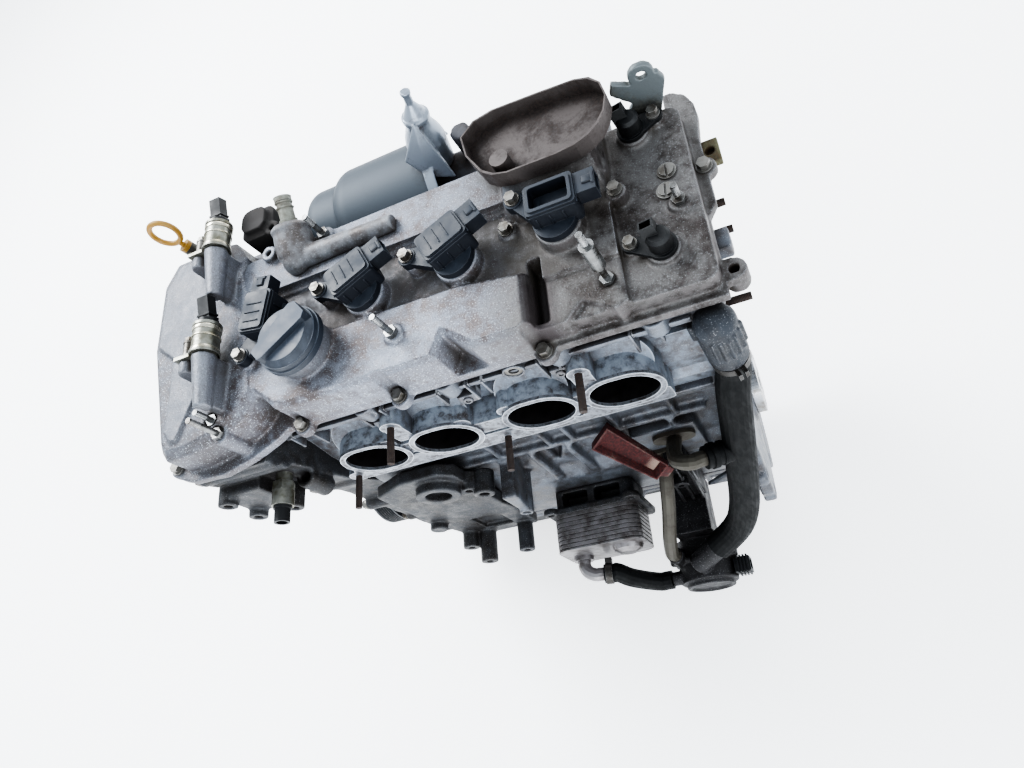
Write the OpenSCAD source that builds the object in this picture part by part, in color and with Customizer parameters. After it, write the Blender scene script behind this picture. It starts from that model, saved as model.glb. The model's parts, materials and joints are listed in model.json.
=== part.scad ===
// In-line four-cylinder petrol engine with twin overhead camshafts.
// X runs along the crankshaft (timing end at -X, gearbox end at +X), the inlet side
// is -Y, the exhaust side +Y, and Z = 0 is the flat bottom of the sump.

/* [Cylinder bank] */
// Distance between neighbouring cylinder axes
bore_pitch = 100; // [96:1:103]
// Offset of the cylinder bank's middle from the middle of the intake flange
bank_x = -8; // [-12:1:-4]
// Height of the crankshaft axis above the flat bottom of the sump
crank_z = 190; // [182:1:200]
// Height of the block's top face above the crankshaft axis
deck_h = 220; // [212:1:232]
// Depth of the block's skirt below the crankshaft axis
skirt_h = 50; // [44:1:60]
// Half width of the crankcase part of the block
case_half_w = 92; // [86:1:98]
// Half width of the cylinder part of the block
bank_half_w = 76; // [70:1:80]

/* [Cylinder head] */
// Height of the head casting
head_h = 125; // [120:1:132]
// Height of the camshaft housing
housing_h = 22; // [18:1:26]
// Height of the intake ports above the block's top face
port_h = 60; // [56:1:64]
// Distance of the intake flange face from the crankshaft plane
intake_face = 100; // [97:1:104]
// Radius of the round ends of an intake port
port_r = 28.5; // [26:0.5:30]
// Length of the straight part between a port's round ends
port_flat = 12; // [8:1:16]
// Depth of an intake port
port_depth = 62; // [50:1:70]
// Wall round an intake port
port_wall = 6; // [4:0.5:8]
// Distance of the outer ports from the middle of the bank
port_outer_x = 141; // [138:1:145]
// Distance of the inner ports from the middle of the bank
port_inner_x = 54; // [52:1:57]
// Diameter of a spark plug well
well_d = 30; // [28:0.5:32]

/* [Camshaft cover] */
// Thickness of the cover's gasket
gasket_t = 1.5; // [1:0.5:3]
// Thickness of the cover's flange
flange_t = 10; // [8:1:13]
// Height of the inlet side's plateau above the flange
plateau_h = 42; // [38:1:46]
// Height of the chain dome above the flange
dome_h = 48; // [45:1:52]
// Height of the valley between the banks above the flange
valley_h = 30; // [26:1:33]
// Height of the rear deck above the flange
rear_h = 19; // [15:1:23]
// Height of the coil seats above the valley
coil_seat_h = 16; // [13:1:20]
// Diameter of the oil filler cap
cap_d = 70; // [64:1:72]
// Height of the oil filler cap above its boss
cap_h = 24; // [20:1:28]

/* [Timing end] */
// Depth of the timing cover along the crankshaft
timing_d = 100; // [96:1:106]
// Depth of the timing cover's narrow lower part
timing_low_d = 62; // [58:1:68]
// Outer diameter of the crankshaft pulley
pulley_d = 138; // [130:1:144]
// Width of the crankshaft pulley
pulley_w = 28; // [24:1:32]
// Number of grooves in the crankshaft pulley
groove_n = 6; // [4:1:7]

/* [Crankshaft] */
// Diameter of the crankshaft's main journals
journal_d = 55; // [50:1:60]
// Radial running clearance of the crankshaft
run_fit = 0.05; // [0.02:0.01:0.1]
// Diameter of the bolt circle in the crankshaft's rear flange
flange_pcd = 64; // [60:1:68]
// Diameter of the tapped holes in the crankshaft's rear flange
flange_hole_d = 9; // [8:0.5:10]

/* [Oil pans] */
// Depth of the pressed steel sump
sump_h = 78; // [70:1:84]
// Length of the pressed steel sump
sump_l = 300; // [280:5:320]
// Half width of the cast upper oil pan
pan_half_w = 88; // [82:1:94]

/* [Cooling] */
// Outer diameter of the large coolant hose
hose_d = 34; // [31:1:38]
// Outer diameter of the small coolant hoses
small_hose_d = 24; // [20:1:27]
// Outer diameter of the steel coolant pipes
pipe_d = 17; // [14:1:19]
// Diameter of the electric water pump's body
pump_d = 72; // [66:1:78]
// Number of plates in the oil cooler
cooler_plates = 8; // [6:1:9]
// Pitch of the oil cooler's plates
plate_pitch = 5.6; // [5:0.1:6.2]

/* [Fasteners] */
// Diameter across the flanges of the cover bolts
bolt_flange_d = 15; // [13:0.5:17]
// Diameter of the cover bolts' shanks
bolt_d = 6; // [5:0.5:7]
// Diameter of the studs
stud_d = 8; // [6:0.5:9]

/* [Hidden] */
$fn = 48;
eps = 0.01;
fit = 0.3;

x_front = bank_x - 1.5 * bore_pitch - 57;
x_back = bank_x + 1.5 * bore_pitch + 75;
bell_t = 15;
x_bell = x_back + bell_t;
x_head = bank_x + 1.5 * bore_pitch + 108;
x_time = x_front - timing_d;
x_low = x_front - timing_low_d;
cyl_x = [for (i = [0:3]) bank_x + (i - 1.5) * bore_pitch];
port_x = [-port_outer_x, -port_inner_x, port_inner_x, port_outer_x];

z_skirt = crank_z - skirt_h;
z_deck = crank_z + deck_h;
z_head = z_deck + head_h;
z_house = z_head + housing_h;
z_cover = z_house + gasket_t;
z_flange = z_cover + flange_t;
z_plateau = z_flange + plateau_h;
z_dome = z_flange + dome_h;
z_valley = z_flange + valley_h;
z_rear = z_flange + rear_h;
z_seat = z_valley + coil_seat_h;
z_filler = z_plateau + 20;
z_port = z_deck + port_h;
z_rail = sump_h;

// ---------- shared shapes ----------
module xcyl(r, x0, x1, y, z) { translate([x0, y, z]) rotate([0, 90, 0]) cylinder(r = r, h = x1 - x0); }
module ycyl(r, y0, y1, x, z) { translate([x, y1, z]) rotate([90, 0, 0]) cylinder(r = r, h = y1 - y0); }
module zcyl(r, z0, z1, x, y) { translate([x, y, z0]) cylinder(r = r, h = z1 - z0); }
module box3(x0, x1, y0, y1, z0, z1) { translate([x0, y0, z0]) cube([x1 - x0, y1 - y0, z1 - z0]); }
// a profile drawn in Y and Z, extruded along X
module xplate(x0, x1) { translate([x0, 0, 0]) rotate([90, 0, 90]) linear_extrude(x1 - x0) children(); }
// a profile drawn in X and Z, extruded along Y
module yplate(y0, y1) { translate([0, y1, 0]) rotate([90, 0, 0]) linear_extrude(y1 - y0) children(); }
module zplate(z0, z1) { translate([0, 0, z0]) linear_extrude(z1 - z0) children(); }
module rrect(x0, x1, y0, y1, r) {
  translate([x0 + r, y0]) square([x1 - x0 - 2 * r, y1 - y0]);
  translate([x0, y0 + r]) square([x1 - x0, y1 - y0 - 2 * r]);
  for (x = [x0 + r, x1 - r], y = [y0 + r, y1 - r]) translate([x, y]) circle(r);
}
// slot with round ends, its straight part w long
module stadium(r, w) {
  translate([-w / 2, -r]) square([w, 2 * r]);
  for (s = [-1, 1]) translate([s * w / 2, 0]) circle(r);
}
// hexagon flange bolt, head up, seated at z = 0, with a shank below
module flange_bolt(fd, sd, len) {
  cylinder(d = fd, h = 2);
  cylinder(d = fd * 0.8, h = 7.5, $fn = 6);
  if (len > 0) translate([0, 0, -len]) cylinder(d = sd, h = len + 1);
}
// points along a smooth curve through hand-chosen points
function cr(a, b, c, d, t) = 0.5 * (2 * b + (c - a) * t + (2 * a - 5 * b + 4 * c - d) * t * t
  + (3 * b - a - 3 * c + d) * t * t * t);
function route(p, k) = [for (i = [0:len(p) - 2]) for (j = [0:k - 1])
  cr(p[max(i - 1, 0)], p[i], p[i + 1], p[min(i + 2, len(p) - 1)], j / k), p[len(p) - 1]];
function unit(v) = v / norm(v);
function tangent(p, i) = unit(p[min(i + 1, len(p) - 1)] - p[max(i - 1, 0)]);
// rings of a mitred tube: each is the last one carried along its stretch to the plane of the next joint
function rings(p, ring, i) = i >= len(p) ? [] :
  let (d = unit(p[i] - p[i - 1]), n = i < len(p) - 1 ? unit(d + unit(p[i + 1] - p[i])) : d,
    next = [for (q = ring) q + d * ((p[i] - q) * n) / (d * n)])
  concat(next, rings(p, next, i + 1));
// round tube swept along points, with side as a direction that its start doesn't run along
module sweep(p, r, side, n = 12) {
  m = len(p);
  t = unit(p[1] - p[0]);
  u = unit(cross(t, side));
  v = cross(u, t);
  start = [for (j = [0:n - 1]) p[0] + r * (cos(360 * j / n) * u + sin(360 * j / n) * v)];
  pts = concat(start, rings(p, start, 1));
  sides = [for (i = [0:m - 2]) for (j = [0:n - 1])
    [i * n + j, i * n + (j + 1) % n, (i + 1) * n + (j + 1) % n, (i + 1) * n + j]];
  polyhedron(pts, concat([[for (j = [n - 1:-1:0]) j]], sides, [[for (j = [0:n - 1]) (m - 1) * n + j]]), 6);
}
// places children with their +Z along direction d
module aim(p, d) {
  translate(p) rotate([0, acos(d[2] / norm(d)), atan2(d[1], d[0])]) children();
}

// ---------- cylinder block ----------
block_wall = [-case_half_w, case_half_w];
rib_t = 6;
pipe_pad_y = -bank_half_w - 19;
core_d = 36;
bell_y = -150;
module block_profile() {
  polygon([[-pan_half_w, z_skirt], [pan_half_w, z_skirt], [case_half_w, z_skirt + 40],
    [case_half_w, crank_z + 60], [bank_half_w + 6, crank_z + 88], [bank_half_w, z_deck - 40],
    [bank_half_w + 6, z_deck - 14], [bank_half_w + 6, z_deck], [-bank_half_w - 6, z_deck],
    [-bank_half_w - 6, z_deck - 14], [-bank_half_w, z_deck - 40], [-bank_half_w - 6, crank_z + 88],
    [-case_half_w, crank_z + 60], [-case_half_w, z_skirt + 40]]);
}
module bell_profile() {
  polygon([[-100, z_skirt], [100, z_skirt], [150, crank_z - 20], [152, crank_z + 60],
    [120, crank_z + 140], [84, z_deck - 6], [-70, z_deck - 6], [-96, crank_z + 140],
    [-128, crank_z + 70], [bell_y, crank_z + 10], [bell_y + 6, crank_z - 30]]);
  for (p = bell_holes) translate(p) circle(13);
}
bell_holes = [[-138, crank_z - 14], [-134, crank_z + 40], [-84, z_deck - 26], [76, z_deck - 26],
  [138, crank_z + 30], [138, crank_z - 12]];
cooler_x = 25;
module engine_block() {
  color("silver") difference() {
    union() {
      xplate(x_front, x_back) block_profile();
      xplate(x_back - eps, x_bell) bell_profile();
      // gussets between the crankcase and the gearbox flange
      for (y = [-122, -100, 100, 122]) yplate(y - rib_t / 2, y + rib_t / 2)
        polygon([[x_back - 60, crank_z + 10], [x_back + 1, crank_z + 10], [x_back + 1, crank_z + 70]]);
      // rails and upright ribs of the inlet side
      box3(x_front + 20, x_back, -bank_half_w - 14, -bank_half_w, z_deck - 12, z_deck);
      box3(x_front + 60, x_back - 20, -bank_half_w - 12, -bank_half_w, z_deck - 64, z_deck - 56);
      for (x = [-50, 14, 42, 96, 160])
        box3(x, x + rib_t, -bank_half_w - 13, -bank_half_w, z_deck - 62, z_deck - 6);
      for (x = [-16, 30, 85, 150]) yplate(-case_half_w - 1, -bank_half_w + 4)
        polygon([[x, crank_z + 66], [x + rib_t + 6, crank_z + 66], [x + rib_t + 2, z_deck - 62], [x + 2, z_deck - 62]]);
      // ribs of the exhaust side
      for (x = [for (i = [0:3]) cyl_x[i] - bore_pitch / 2]) box3(x, x + rib_t, bank_half_w - 2, case_half_w, crank_z + 50, z_deck - 4);
      box3(x_front + 10, x_back, bank_half_w - 2, bank_half_w + 10, z_deck - 12, z_deck);
      // engine mount pad of the exhaust side
      for (x = [60, 130], z = [crank_z, crank_z + 46]) ycyl(13, case_half_w - 8, case_half_w + 14, x, z);
      // triangular gusset post of the inlet side
      yplate(-134, -bank_half_w + 4) polygon([[-54, z_deck - 64], [-36, z_deck - 64], [-36, z_deck - 76], [-46, z_deck - 128], [-54, z_deck - 128]]);
      ycyl(9, -138, -bank_half_w + 4, -47, z_deck - 120);
      // rear oil seal boss
      xcyl(48, x_bell - 1, x_bell + 4, 0, crank_z);
      // flat pad of the coolant pipes' feet
      box3(104, 178, pipe_pad_y, -bank_half_w, crank_z + 62, crank_z + 146);
    }
    xcyl(journal_d / 2 + run_fit, x_front - 1, x_bell + 10, 0, crank_z);
    // counterbore round the rear oil seal, behind the crankshaft flange
    xcyl(flange_pcd / 2 + 6, x_bell + 1, x_bell + 5, 0, crank_z);
    ycyl(5, -139, -120, -47, z_deck - 120);
    // water jacket core plugs' recesses
    for (x = cyl_x) ycyl(core_d / 2, bank_half_w - 8, case_half_w + 20, x, z_deck - 70);
    for (p = bell_holes) xcyl(5.5, x_back - 20, x_bell + 1, p[0], p[1]);
    for (x = [60, 130], z = [crank_z, crank_z + 46]) ycyl(5, case_half_w - 10, case_half_w + 15, x, z);
    // triangular pocket under the inlet side's rib
    yplate(-case_half_w - 2, -bank_half_w + 6)
      polygon([[2, z_deck - 72], [24, z_deck - 76], [2, z_deck - 124]]);
  }
}

// ---------- core plugs ----------
module core_plugs() {
  color("darkgray") for (x = cyl_x) translate([x, bank_half_w - 8, z_deck - 70]) rotate([-90, 0, 0]) difference() {
    cylinder(r = core_d / 2 - 0.1, h = 7);
    translate([0, 0, 2]) cylinder(r = core_d / 2 - 3, h = 6);
  }
}

// ---------- crankcase half and sump ----------
sump_x0 = -sump_l / 2 - 30;
sump_x1 = sump_l / 2 - 30;
module upper_oil_pan() {
  color("silver") difference() {
    union() {
      xplate(x_front, x_back) polygon([[-pan_half_w, z_skirt], [-pan_half_w, z_skirt - 14], [-pan_half_w + 8, z_skirt - 18],
        [-pan_half_w + 16, z_rail + 10], [-pan_half_w + 12, z_rail + 8], [-pan_half_w + 12, z_rail], [pan_half_w - 12, z_rail],
        [pan_half_w - 12, z_rail + 8], [pan_half_w - 16, z_rail + 10], [pan_half_w - 8, z_skirt - 18],
        [pan_half_w, z_skirt - 14], [pan_half_w, z_skirt]]);
      for (i = [0:8]) let (x = x_front + 24 + i * (x_back - x_front - 48) / 8) for (s = [-1, 1])
        box3(x - rib_t / 2, x + rib_t / 2, s > 0 ? pan_half_w - 18 : -pan_half_w + 4, s > 0 ? pan_half_w - 4 : -pan_half_w + 18, z_rail + 4, z_skirt - 10);
      // lower part of the gearbox flange
      xplate(x_back - eps, x_bell) polygon([[-100, z_skirt], [100, z_skirt], [84, z_rail + 14], [50, z_rail + 4],
        [-50, z_rail + 4], [-84, z_rail + 14]]);
    }
    for (s = [-1, 1]) xcyl(5.5, x_back - 14, x_bell + 1, s * 82, z_skirt - 14);
  }
}
module oil_pan() {
  color("dimgray") difference() {
    union() {
      zplate(z_rail - 3, z_rail) rrect(sump_x0 - 14, sump_x1 + 14, -pan_half_w + 14, pan_half_w - 14, 16);
      zplate(26, z_rail - 2) rrect(sump_x0, sump_x1, -pan_half_w + 26, pan_half_w - 26, 14);
      zplate(6, 27) rrect(sump_x0 + 4, sump_x1 - 84, -pan_half_w + 29, pan_half_w - 29, 14);
      zplate(0, 7) rrect(sump_x0 + 10, sump_x1 - 92, -pan_half_w + 35, pan_half_w - 35, 14);
      // drain boss
      ycyl(15, pan_half_w - 32, pan_half_w - 24, sump_x0 + 60, 30);
    }
    // pressed beads
    for (x = [sump_x0 + 50, sump_x0 + 100, sump_x0 + 150]) box3(x - 5, x + 5, -pan_half_w + 50, pan_half_w - 50, -1, 1.5);
    ycyl(6, pan_half_w - 46, pan_half_w, sump_x0 + 60, 30);
  }
}
module drain_plug() {
  color("gray") translate([sump_x0 + 60, pan_half_w - 24, 30]) rotate([-90, 0, 0]) {
    cylinder(r = 12, h = 2);
    cylinder(r = 9, h = 9, $fn = 6);
    translate([0, 0, -16]) cylinder(r = 5.9, h = 17);
  }
}
pan_bolt_x = [for (i = [0:5]) sump_x0 - 6 + i * (sump_x1 - sump_x0 + 12) / 5];
module sump_bolts() {
  color("gray") for (x = pan_bolt_x, s = [-1, 1])
    translate([x, s * (pan_half_w - 20), z_rail - 3]) rotate([180, 0, 0]) flange_bolt(12, 6, 0);
}

// ---------- crankshaft ----------
rear_len = 11;
snout_d = 38;
x_pulley = x_low - 9;
module crankshaft() {
  color("gainsboro") difference() {
    union() {
      xcyl(journal_d / 2, x_low + 30, x_bell + 4, 0, crank_z);
      xcyl(snout_d / 2, x_pulley - pulley_w + 4, x_low + 31, 0, crank_z);
      xcyl(flange_pcd / 2 + 8, x_bell + 4 + fit, x_bell + 4 + rear_len, 0, crank_z);
      xcyl(journal_d / 2 - 1, x_bell + 3, x_bell + 5, 0, crank_z);
    }
    for (a = [0:45:315]) xcyl(flange_hole_d / 2, x_bell + 4 + fit / 2, x_bell + 5 + rear_len,
      flange_pcd / 2 * cos(a), crank_z + flange_pcd / 2 * sin(a));
    xcyl(12, x_bell - 10, x_bell + 9 + rear_len, 0, crank_z);
    xcyl(8, x_pulley - pulley_w + 3, x_pulley + 40, 0, crank_z);
  }
}
module crank_pulley() {
  r = pulley_d / 2;
  g = (pulley_w - 6) / groove_n;
  color("dimgray") translate([x_pulley, 0, crank_z]) rotate([0, -90, 0]) difference() {
    rotate_extrude($fn = 96) polygon(concat([[snout_d / 2, 0], [r, 0], [r, 2]],
      [for (i = [0:groove_n - 1]) each [[r, 3 + i * g], [r - 3.5, 3 + (i + 0.5) * g], [r, 3 + (i + 1) * g - 0.4]]],
      [[r, pulley_w - 1], [r, pulley_w], [r - 9, pulley_w], [r - 12, pulley_w - 8], [34, pulley_w - 8], [30, pulley_w - 2],
      [snout_d / 2, pulley_w - 2]]));
    for (a = [45:90:315]) rotate([0, 0, a]) translate([43, 0, -1]) cylinder(r = 8, h = pulley_w);
  }
}
module pulley_bolt() {
  color("gray") translate([x_pulley - pulley_w + 2, 0, crank_z]) rotate([0, -90, 0]) {
    cylinder(r = 22, h = 4);
    cylinder(r = 13, h = 16, $fn = 6);
    translate([0, 0, -30]) cylinder(r = 8, h = 31);
  }
}

// ---------- cylinder head ----------
head_wall = intake_face - 30;
exh_wall = 88;
module head_profile() {
  polygon([[-bank_half_w - 6, z_deck], [exh_wall - 4, z_deck], [exh_wall - 4, z_deck + 12], [exh_wall, z_deck + 20],
    [exh_wall, z_head - 14], [exh_wall + 8, z_head - 8], [exh_wall + 8, z_head], [-head_wall - 12, z_head],
    [-head_wall - 12, z_head - 8], [-head_wall, z_head - 16], [-head_wall, z_port + 20],
    [-head_wall - 6, z_port - 20], [-head_wall - 6, z_deck + 24], [-bank_half_w - 6, z_deck + 14]]);
}
runner_r = port_r + port_wall;
module head_runner(x) {
  translate([x, 0, z_port]) {
    yplate(-intake_face, -head_wall + 4) stadium(runner_r, port_flat);
    // hump of the runner's roof, rising to the camshaft housing
    translate([0, -head_wall + 6, 12]) rotate([62, 0, 0]) linear_extrude(24) stadium(runner_r - 3, port_flat);
  }
}
stud_pts = [[-190, -36], [-88, 54], [0, -36], [114, 54]];
module cylinder_head() {
  color("silver") difference() {
    union() {
      xplate(x_front, x_head) head_profile();
      for (x = port_x) head_runner(x);
      // flat rail joining the ports at the flange face
      yplate(-intake_face, -head_wall) translate([0, z_port]) {
        rrect(-port_outer_x - 46, port_outer_x + 40, -46, -18, 6);
        rrect(-port_outer_x, port_outer_x, -12, 12, 4);
        for (p = stud_pts) translate(p) circle(11);
        for (p = [[-114, 20], [-26, 20], [84, -28], [26, 22]]) translate(p) circle(10);
        rrect(104, 124, 20, 56, 4);
        rrect(-98, -78, 20, 56, 4);
      }
      // raised bead of the flange under the inner ports
      yplate(-intake_face - 3, -intake_face + eps) translate([0, z_port]) for (x = port_x) translate([x, 0])
        stadium(runner_r, port_flat);
    }
    for (x = port_x) translate([x, 0, z_port]) yplate(-intake_face - 5, -intake_face + port_depth) stadium(port_r, port_flat);
    for (x = cyl_x) zcyl(well_d / 2, z_deck + 30, z_head + 1, x, 0);
    for (p = stud_pts) ycyl(stud_d / 2, -intake_face - 1, -intake_face + 14, p[0], z_port + p[1]);
    ycyl(5, -intake_face - 5, -intake_face + 20, 84, z_port - 28);
    // exhaust port mouths behind the manifold
    for (x = cyl_x) ycyl(19, exh_wall - 30, exh_wall + 20, x, z_port + 10);
    // cast pockets of the gearbox end
    box3(x_head - 60, x_head - 34, -head_wall - 10, -head_wall + 12, z_head - 40, z_head - 18);
    xcyl(14, x_head - 25, x_head + 1, 20, z_port);
  }
}

// ---------- camshaft housing ----------
house_front = head_wall + 14;
house_back = exh_wall + 10;
plug_x = [-100, 60];
hook_x = [215, 233];
hook_y = house_back + 7;
module camshaft_housing() {
  color("silver") difference() {
    union() {
      zplate(z_head, z_house) {
        rrect(x_front, x_head + 6, -house_front, house_back, 8);
        for (x = [-100, -8, 104, 196]) translate([x, -house_front + 2]) circle(12);
        for (x = [-120, 0, 130]) translate([x, house_back - 2]) circle(11);
      }
      // crescent pads below the camshaft caps
      for (x = plug_x) ycyl(11, -house_front - 8, -house_front + 10, x, z_head + 11);
      // bracket lug of the gearbox end
      box3(x_head, x_head + 23, -38, -18, z_head + 2, z_house - 1);
      // bosses of the lifting hook
      for (x = hook_x) ycyl(9.6, house_back - 2, hook_y, x, z_head + 11);
    }
    for (x = cyl_x) zcyl(well_d / 2, z_head - 1, z_house + 1, x, 0);
    for (x = plug_x) ycyl(8.5, -house_front - 9, -house_front, x, z_head + 11);
    for (x = hook_x) ycyl(bolt_d / 2, house_back, hook_y + 1, x, z_head + 11);
    for (x = [-60, 150]) box3(x - 28, x + 28, -house_front - 1, -house_front + 6, z_head + 6, z_house - 5);
    // end bores of the camshafts
    for (y = [-50, 58]) xcyl(10.6, x_head - 8, x_head + 7, y, z_head + 11);
  }
}
module housing_plugs() {
  color("gainsboro") for (x = plug_x) translate([x, -house_front, z_head + 11]) rotate([90, 0, 0]) difference() {
    cylinder(r = 8.4, h = 6);
    translate([0, 0, 3]) cylinder(r = 5, h = 4);
  }
  color("gray") for (y = [-50, 58]) xcyl(10.5, x_head - 8, x_head + 4, y, z_head + 11);
}

// ---------- camshaft cover ----------
cov_front = house_front + 8;
cov_back = house_back + 8;
x_cov = x_head + 12;
module cover_outline() {
  polygon([[x_cov, -cov_front], [-180, -cov_front], [-191, -100], [-221, -113], [-259, -122], [x_time + 12, -120],
    [x_time - 4, -114], [x_time - 6, -98], [x_time, 0], [x_time - 12, 6], [x_time - 26, 22], [x_time - 27, 116], [x_time - 20, 134],
    [x_time - 4, 147], [-232, 147], [-214, 122], [-190, cov_back], [203, cov_back], [204, hook_y - 0.5],
    [246, hook_y - 0.5], [247, cov_back + 32], [x_cov - 6, cov_back + 32], [x_cov + 5, cov_back + 24], [x_cov + 11, cov_back + 10],
    [x_cov + 12, cov_back - 4], [x_cov + 8, cov_back - 34], [x_cov + 8, 0], [x_cov, -12]]);
}
ear_pts = [[-161, -cov_front - 1], [-48, -cov_front - 2], [101, -cov_front - 1], [x_cov + 6, 40], [180, cov_back], [40, cov_back], [-70, cov_back], [-180, cov_back], [x_time - 9, -100]];
ring_lug = [x_cov + 8, -69];
cap_pos = [-125, -40];
coil_turn = [80, 25, 25, 0];
coil_ear = [-35, 33];
function coil_ear_at(i) = [cyl_x[i] + coil_ear[0] * cos(coil_turn[i]) - coil_ear[1] * sin(coil_turn[i]),
  coil_ear[0] * sin(coil_turn[i]) + coil_ear[1] * cos(coil_turn[i])];
sens_pts = [[222, -45], [217, 86]];
// bolt lugs of the sensors, from their axes
sens_lug = [[-25, 10], [22, 6]];
ocv_x = x_front - 16;
ocv_y = [-24, 104];
ocv_z = z_dome + 20;
ocv_r = 13.5;
ocv_len = 34;
cover_stud_pts = [[-26, -55, z_plateau], [172, -58, z_rear], [243, -4, z_rear], [-232, -98, z_flange + 34], [-240, -82, z_flange + 34],
  [-106, 90, z_plateau]];
stud_len = [36, 74, 26, 44, 30, 36];
valley_bolt_pts = [[194, 21], [90, 21], [-98, 28]];
module plateau_shape(m) {
  polygon([[x_front + 4, -cov_front + 26 + m], [-186 - m, -cov_front + 26 + m], [-164 + m, -cov_front + 1 + m], [13 - m, -cov_front + 1 + m],
    [21, -cov_front + 24 + 1.4 * m], [48 + m, -cov_front + 1 + m], [104 - m, -cov_front + 1 + m], [104 - m, -32 - m], [40, -22 - m], [-96, -20 - m], [x_front + 4, -20 - m]]);
}
module dome_shape(m) {
  polygon([[-188 - m, -66 + m / 2], [-202 - m, -85 + m], [-216 - m, -94 + m], [-236, -102 + m], [-270, -109 + m], [x_time + 12 + m, -109 + m],
    [x_time + 4 + m, -98 + m], [x_time + 4 + m, -84], [x_time + 4 + m, 2], [x_time - 22 + m, 24], [x_time - 22 + m, 114 - m], [x_time - 6 + m, 140 - m],
    [-238 - m, 140 - m], [-218 - m, 110 - m], [-205 - m, 60], [-205 - m, -30]]);
}
module cam_cover() {
  color("darkgray") difference() {
    union() {
      zplate(z_cover, z_flange) {
        cover_outline();
        for (p = ear_pts) translate(p) circle(bolt_flange_d / 2 + 3);
        translate([ring_lug[0] - 16, ring_lug[1] - 11]) square([16, 22]);
      }
      zcyl(10.5, z_cover - 14, z_flange, ring_lug[0], ring_lug[1]);
      // chain dome with its rounded shoulder
      hull() {
        zplate(z_flange - eps, z_dome - 14) dome_shape(0);
        zplate(z_dome - 5, z_dome - 4) dome_shape(7);
      }
      zplate(z_dome - 5, z_dome) intersection() {
        dome_shape(14);
        polygon([[x_time - 40, -104], [x_time + 30, -104], [x_time + 54, -50], [x_time + 60, 132], [x_time - 40, 132]]);
      }
      // inlet side's plateau
      zplate(z_flange - eps, z_plateau - 6) plateau_shape(0);
      zplate(z_plateau - 7, z_plateau - 3) plateau_shape(1.5);
      zplate(z_plateau - 4, z_plateau) plateau_shape(4);
      // valley between the banks
      box3(x_front, 186, -40, 44, z_flange - eps, z_valley);
      // rear deck
      zplate(z_flange - eps, z_rear) rrect(96, x_cov - 2, -cov_front + 8, cov_back - 2, 10);
      zplate(z_flange - eps, z_rear + 6) polygon([[104, -cov_front + 6], [131, -cov_front + 6], [147, -cov_front + 22],
        [175, -cov_front + 4], [186, -cov_front + 9], [186, -34], [104, -34]]);
      // exhaust side's bank
      zplate(z_flange - eps, z_plateau - 8) rrect(x_front, 190, 42, cov_back - 4, 8);
      zplate(z_plateau - 9, z_plateau) rrect(x_front, 186, 48, cov_back - 10, 8);
      // raised wall under the exhaust heat shield
      hull() {
        zplate(z_valley - 2, z_valley) polygon([[88, 28], [186, 28], [190, cov_back - 8], [88, cov_back - 8]]);
        zplate(z_plateau + 15, z_plateau + 16) polygon([[100, 56], [158, 51], [182, 56], [188, cov_back - 12], [100, cov_back - 12]]);
      }
      // oil filler boss
      zcyl(cap_d / 2 - 5, z_flange, z_filler, cap_pos[0], cap_pos[1]);
      // coil seats and their bolt pillars
      for (i = [0:3]) {
        zcyl(well_d / 2 + 7, z_flange, z_seat, cyl_x[i], 0);
        zcyl(9, z_flange, z_seat, coil_ear_at(i)[0], coil_ear_at(i)[1]);
      }
      // camshaft sensor bosses
      for (i = [0:1]) let (p = sens_pts[i], q = sens_pts[i] + sens_lug[i]) {
        zcyl(15, z_flange, z_rear + 6, p[0], p[1]);
        zcyl(8, z_flange, z_rear + 6, q[0], q[1]);
      }
      // sleeves of the oil control valves, running toward the inlet side
      for (y = ocv_y) {
        aim([ocv_x, y - 0.8, ocv_z], unit([2.5, -56, -2])) cylinder(r1 = ocv_r - 1, r2 = 8.5, h = 57);
        zplate(z_valley, ocv_z - 3) polygon([[ocv_x - 10, y - 1], [ocv_x + 10, y - 1], [ocv_x + 8, y - 54], [ocv_x - 3, y - 54]]);
        ycyl(8, y - 14, y, ocv_x - 24, ocv_z - 2);
        box3(ocv_x - 32, ocv_x, y - 14, y, z_valley, ocv_z - 2);
      }
      for (p = valley_bolt_pts) zcyl(9, z_flange, z_valley + 4, p[0], p[1]);
      // threaded boss at the timing end of the exhaust bank
      zcyl(9, z_plateau - 12, z_plateau + 8, -176, 92);
      // bosses of the long studs
      for (p = cover_stud_pts) zcyl(10, z_flange, p[2] + 4, p[0], p[1]);
    }
    for (x = cyl_x) zcyl(well_d / 2, z_cover - 1, z_seat + 1, x, 0);
    zcyl(cap_d / 2 - 9, z_filler - 24, z_filler + 1, cap_pos[0], cap_pos[1]);
    for (y = ocv_y) ycyl(ocv_r - 6.5, y - 30, y + 1, ocv_x, ocv_z);
    // dip beside the plateau's end
    box3(104.5, 117, -cov_front + 12, -16, z_flange + 5, z_dome);
    for (p = ear_pts) {
      zcyl(bolt_d / 2 + fit, z_cover - 1, z_flange + 1, p[0], p[1]);
      zcyl(bolt_flange_d / 2 + 1, z_flange, z_dome + 1, p[0], p[1]);
    }
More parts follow.
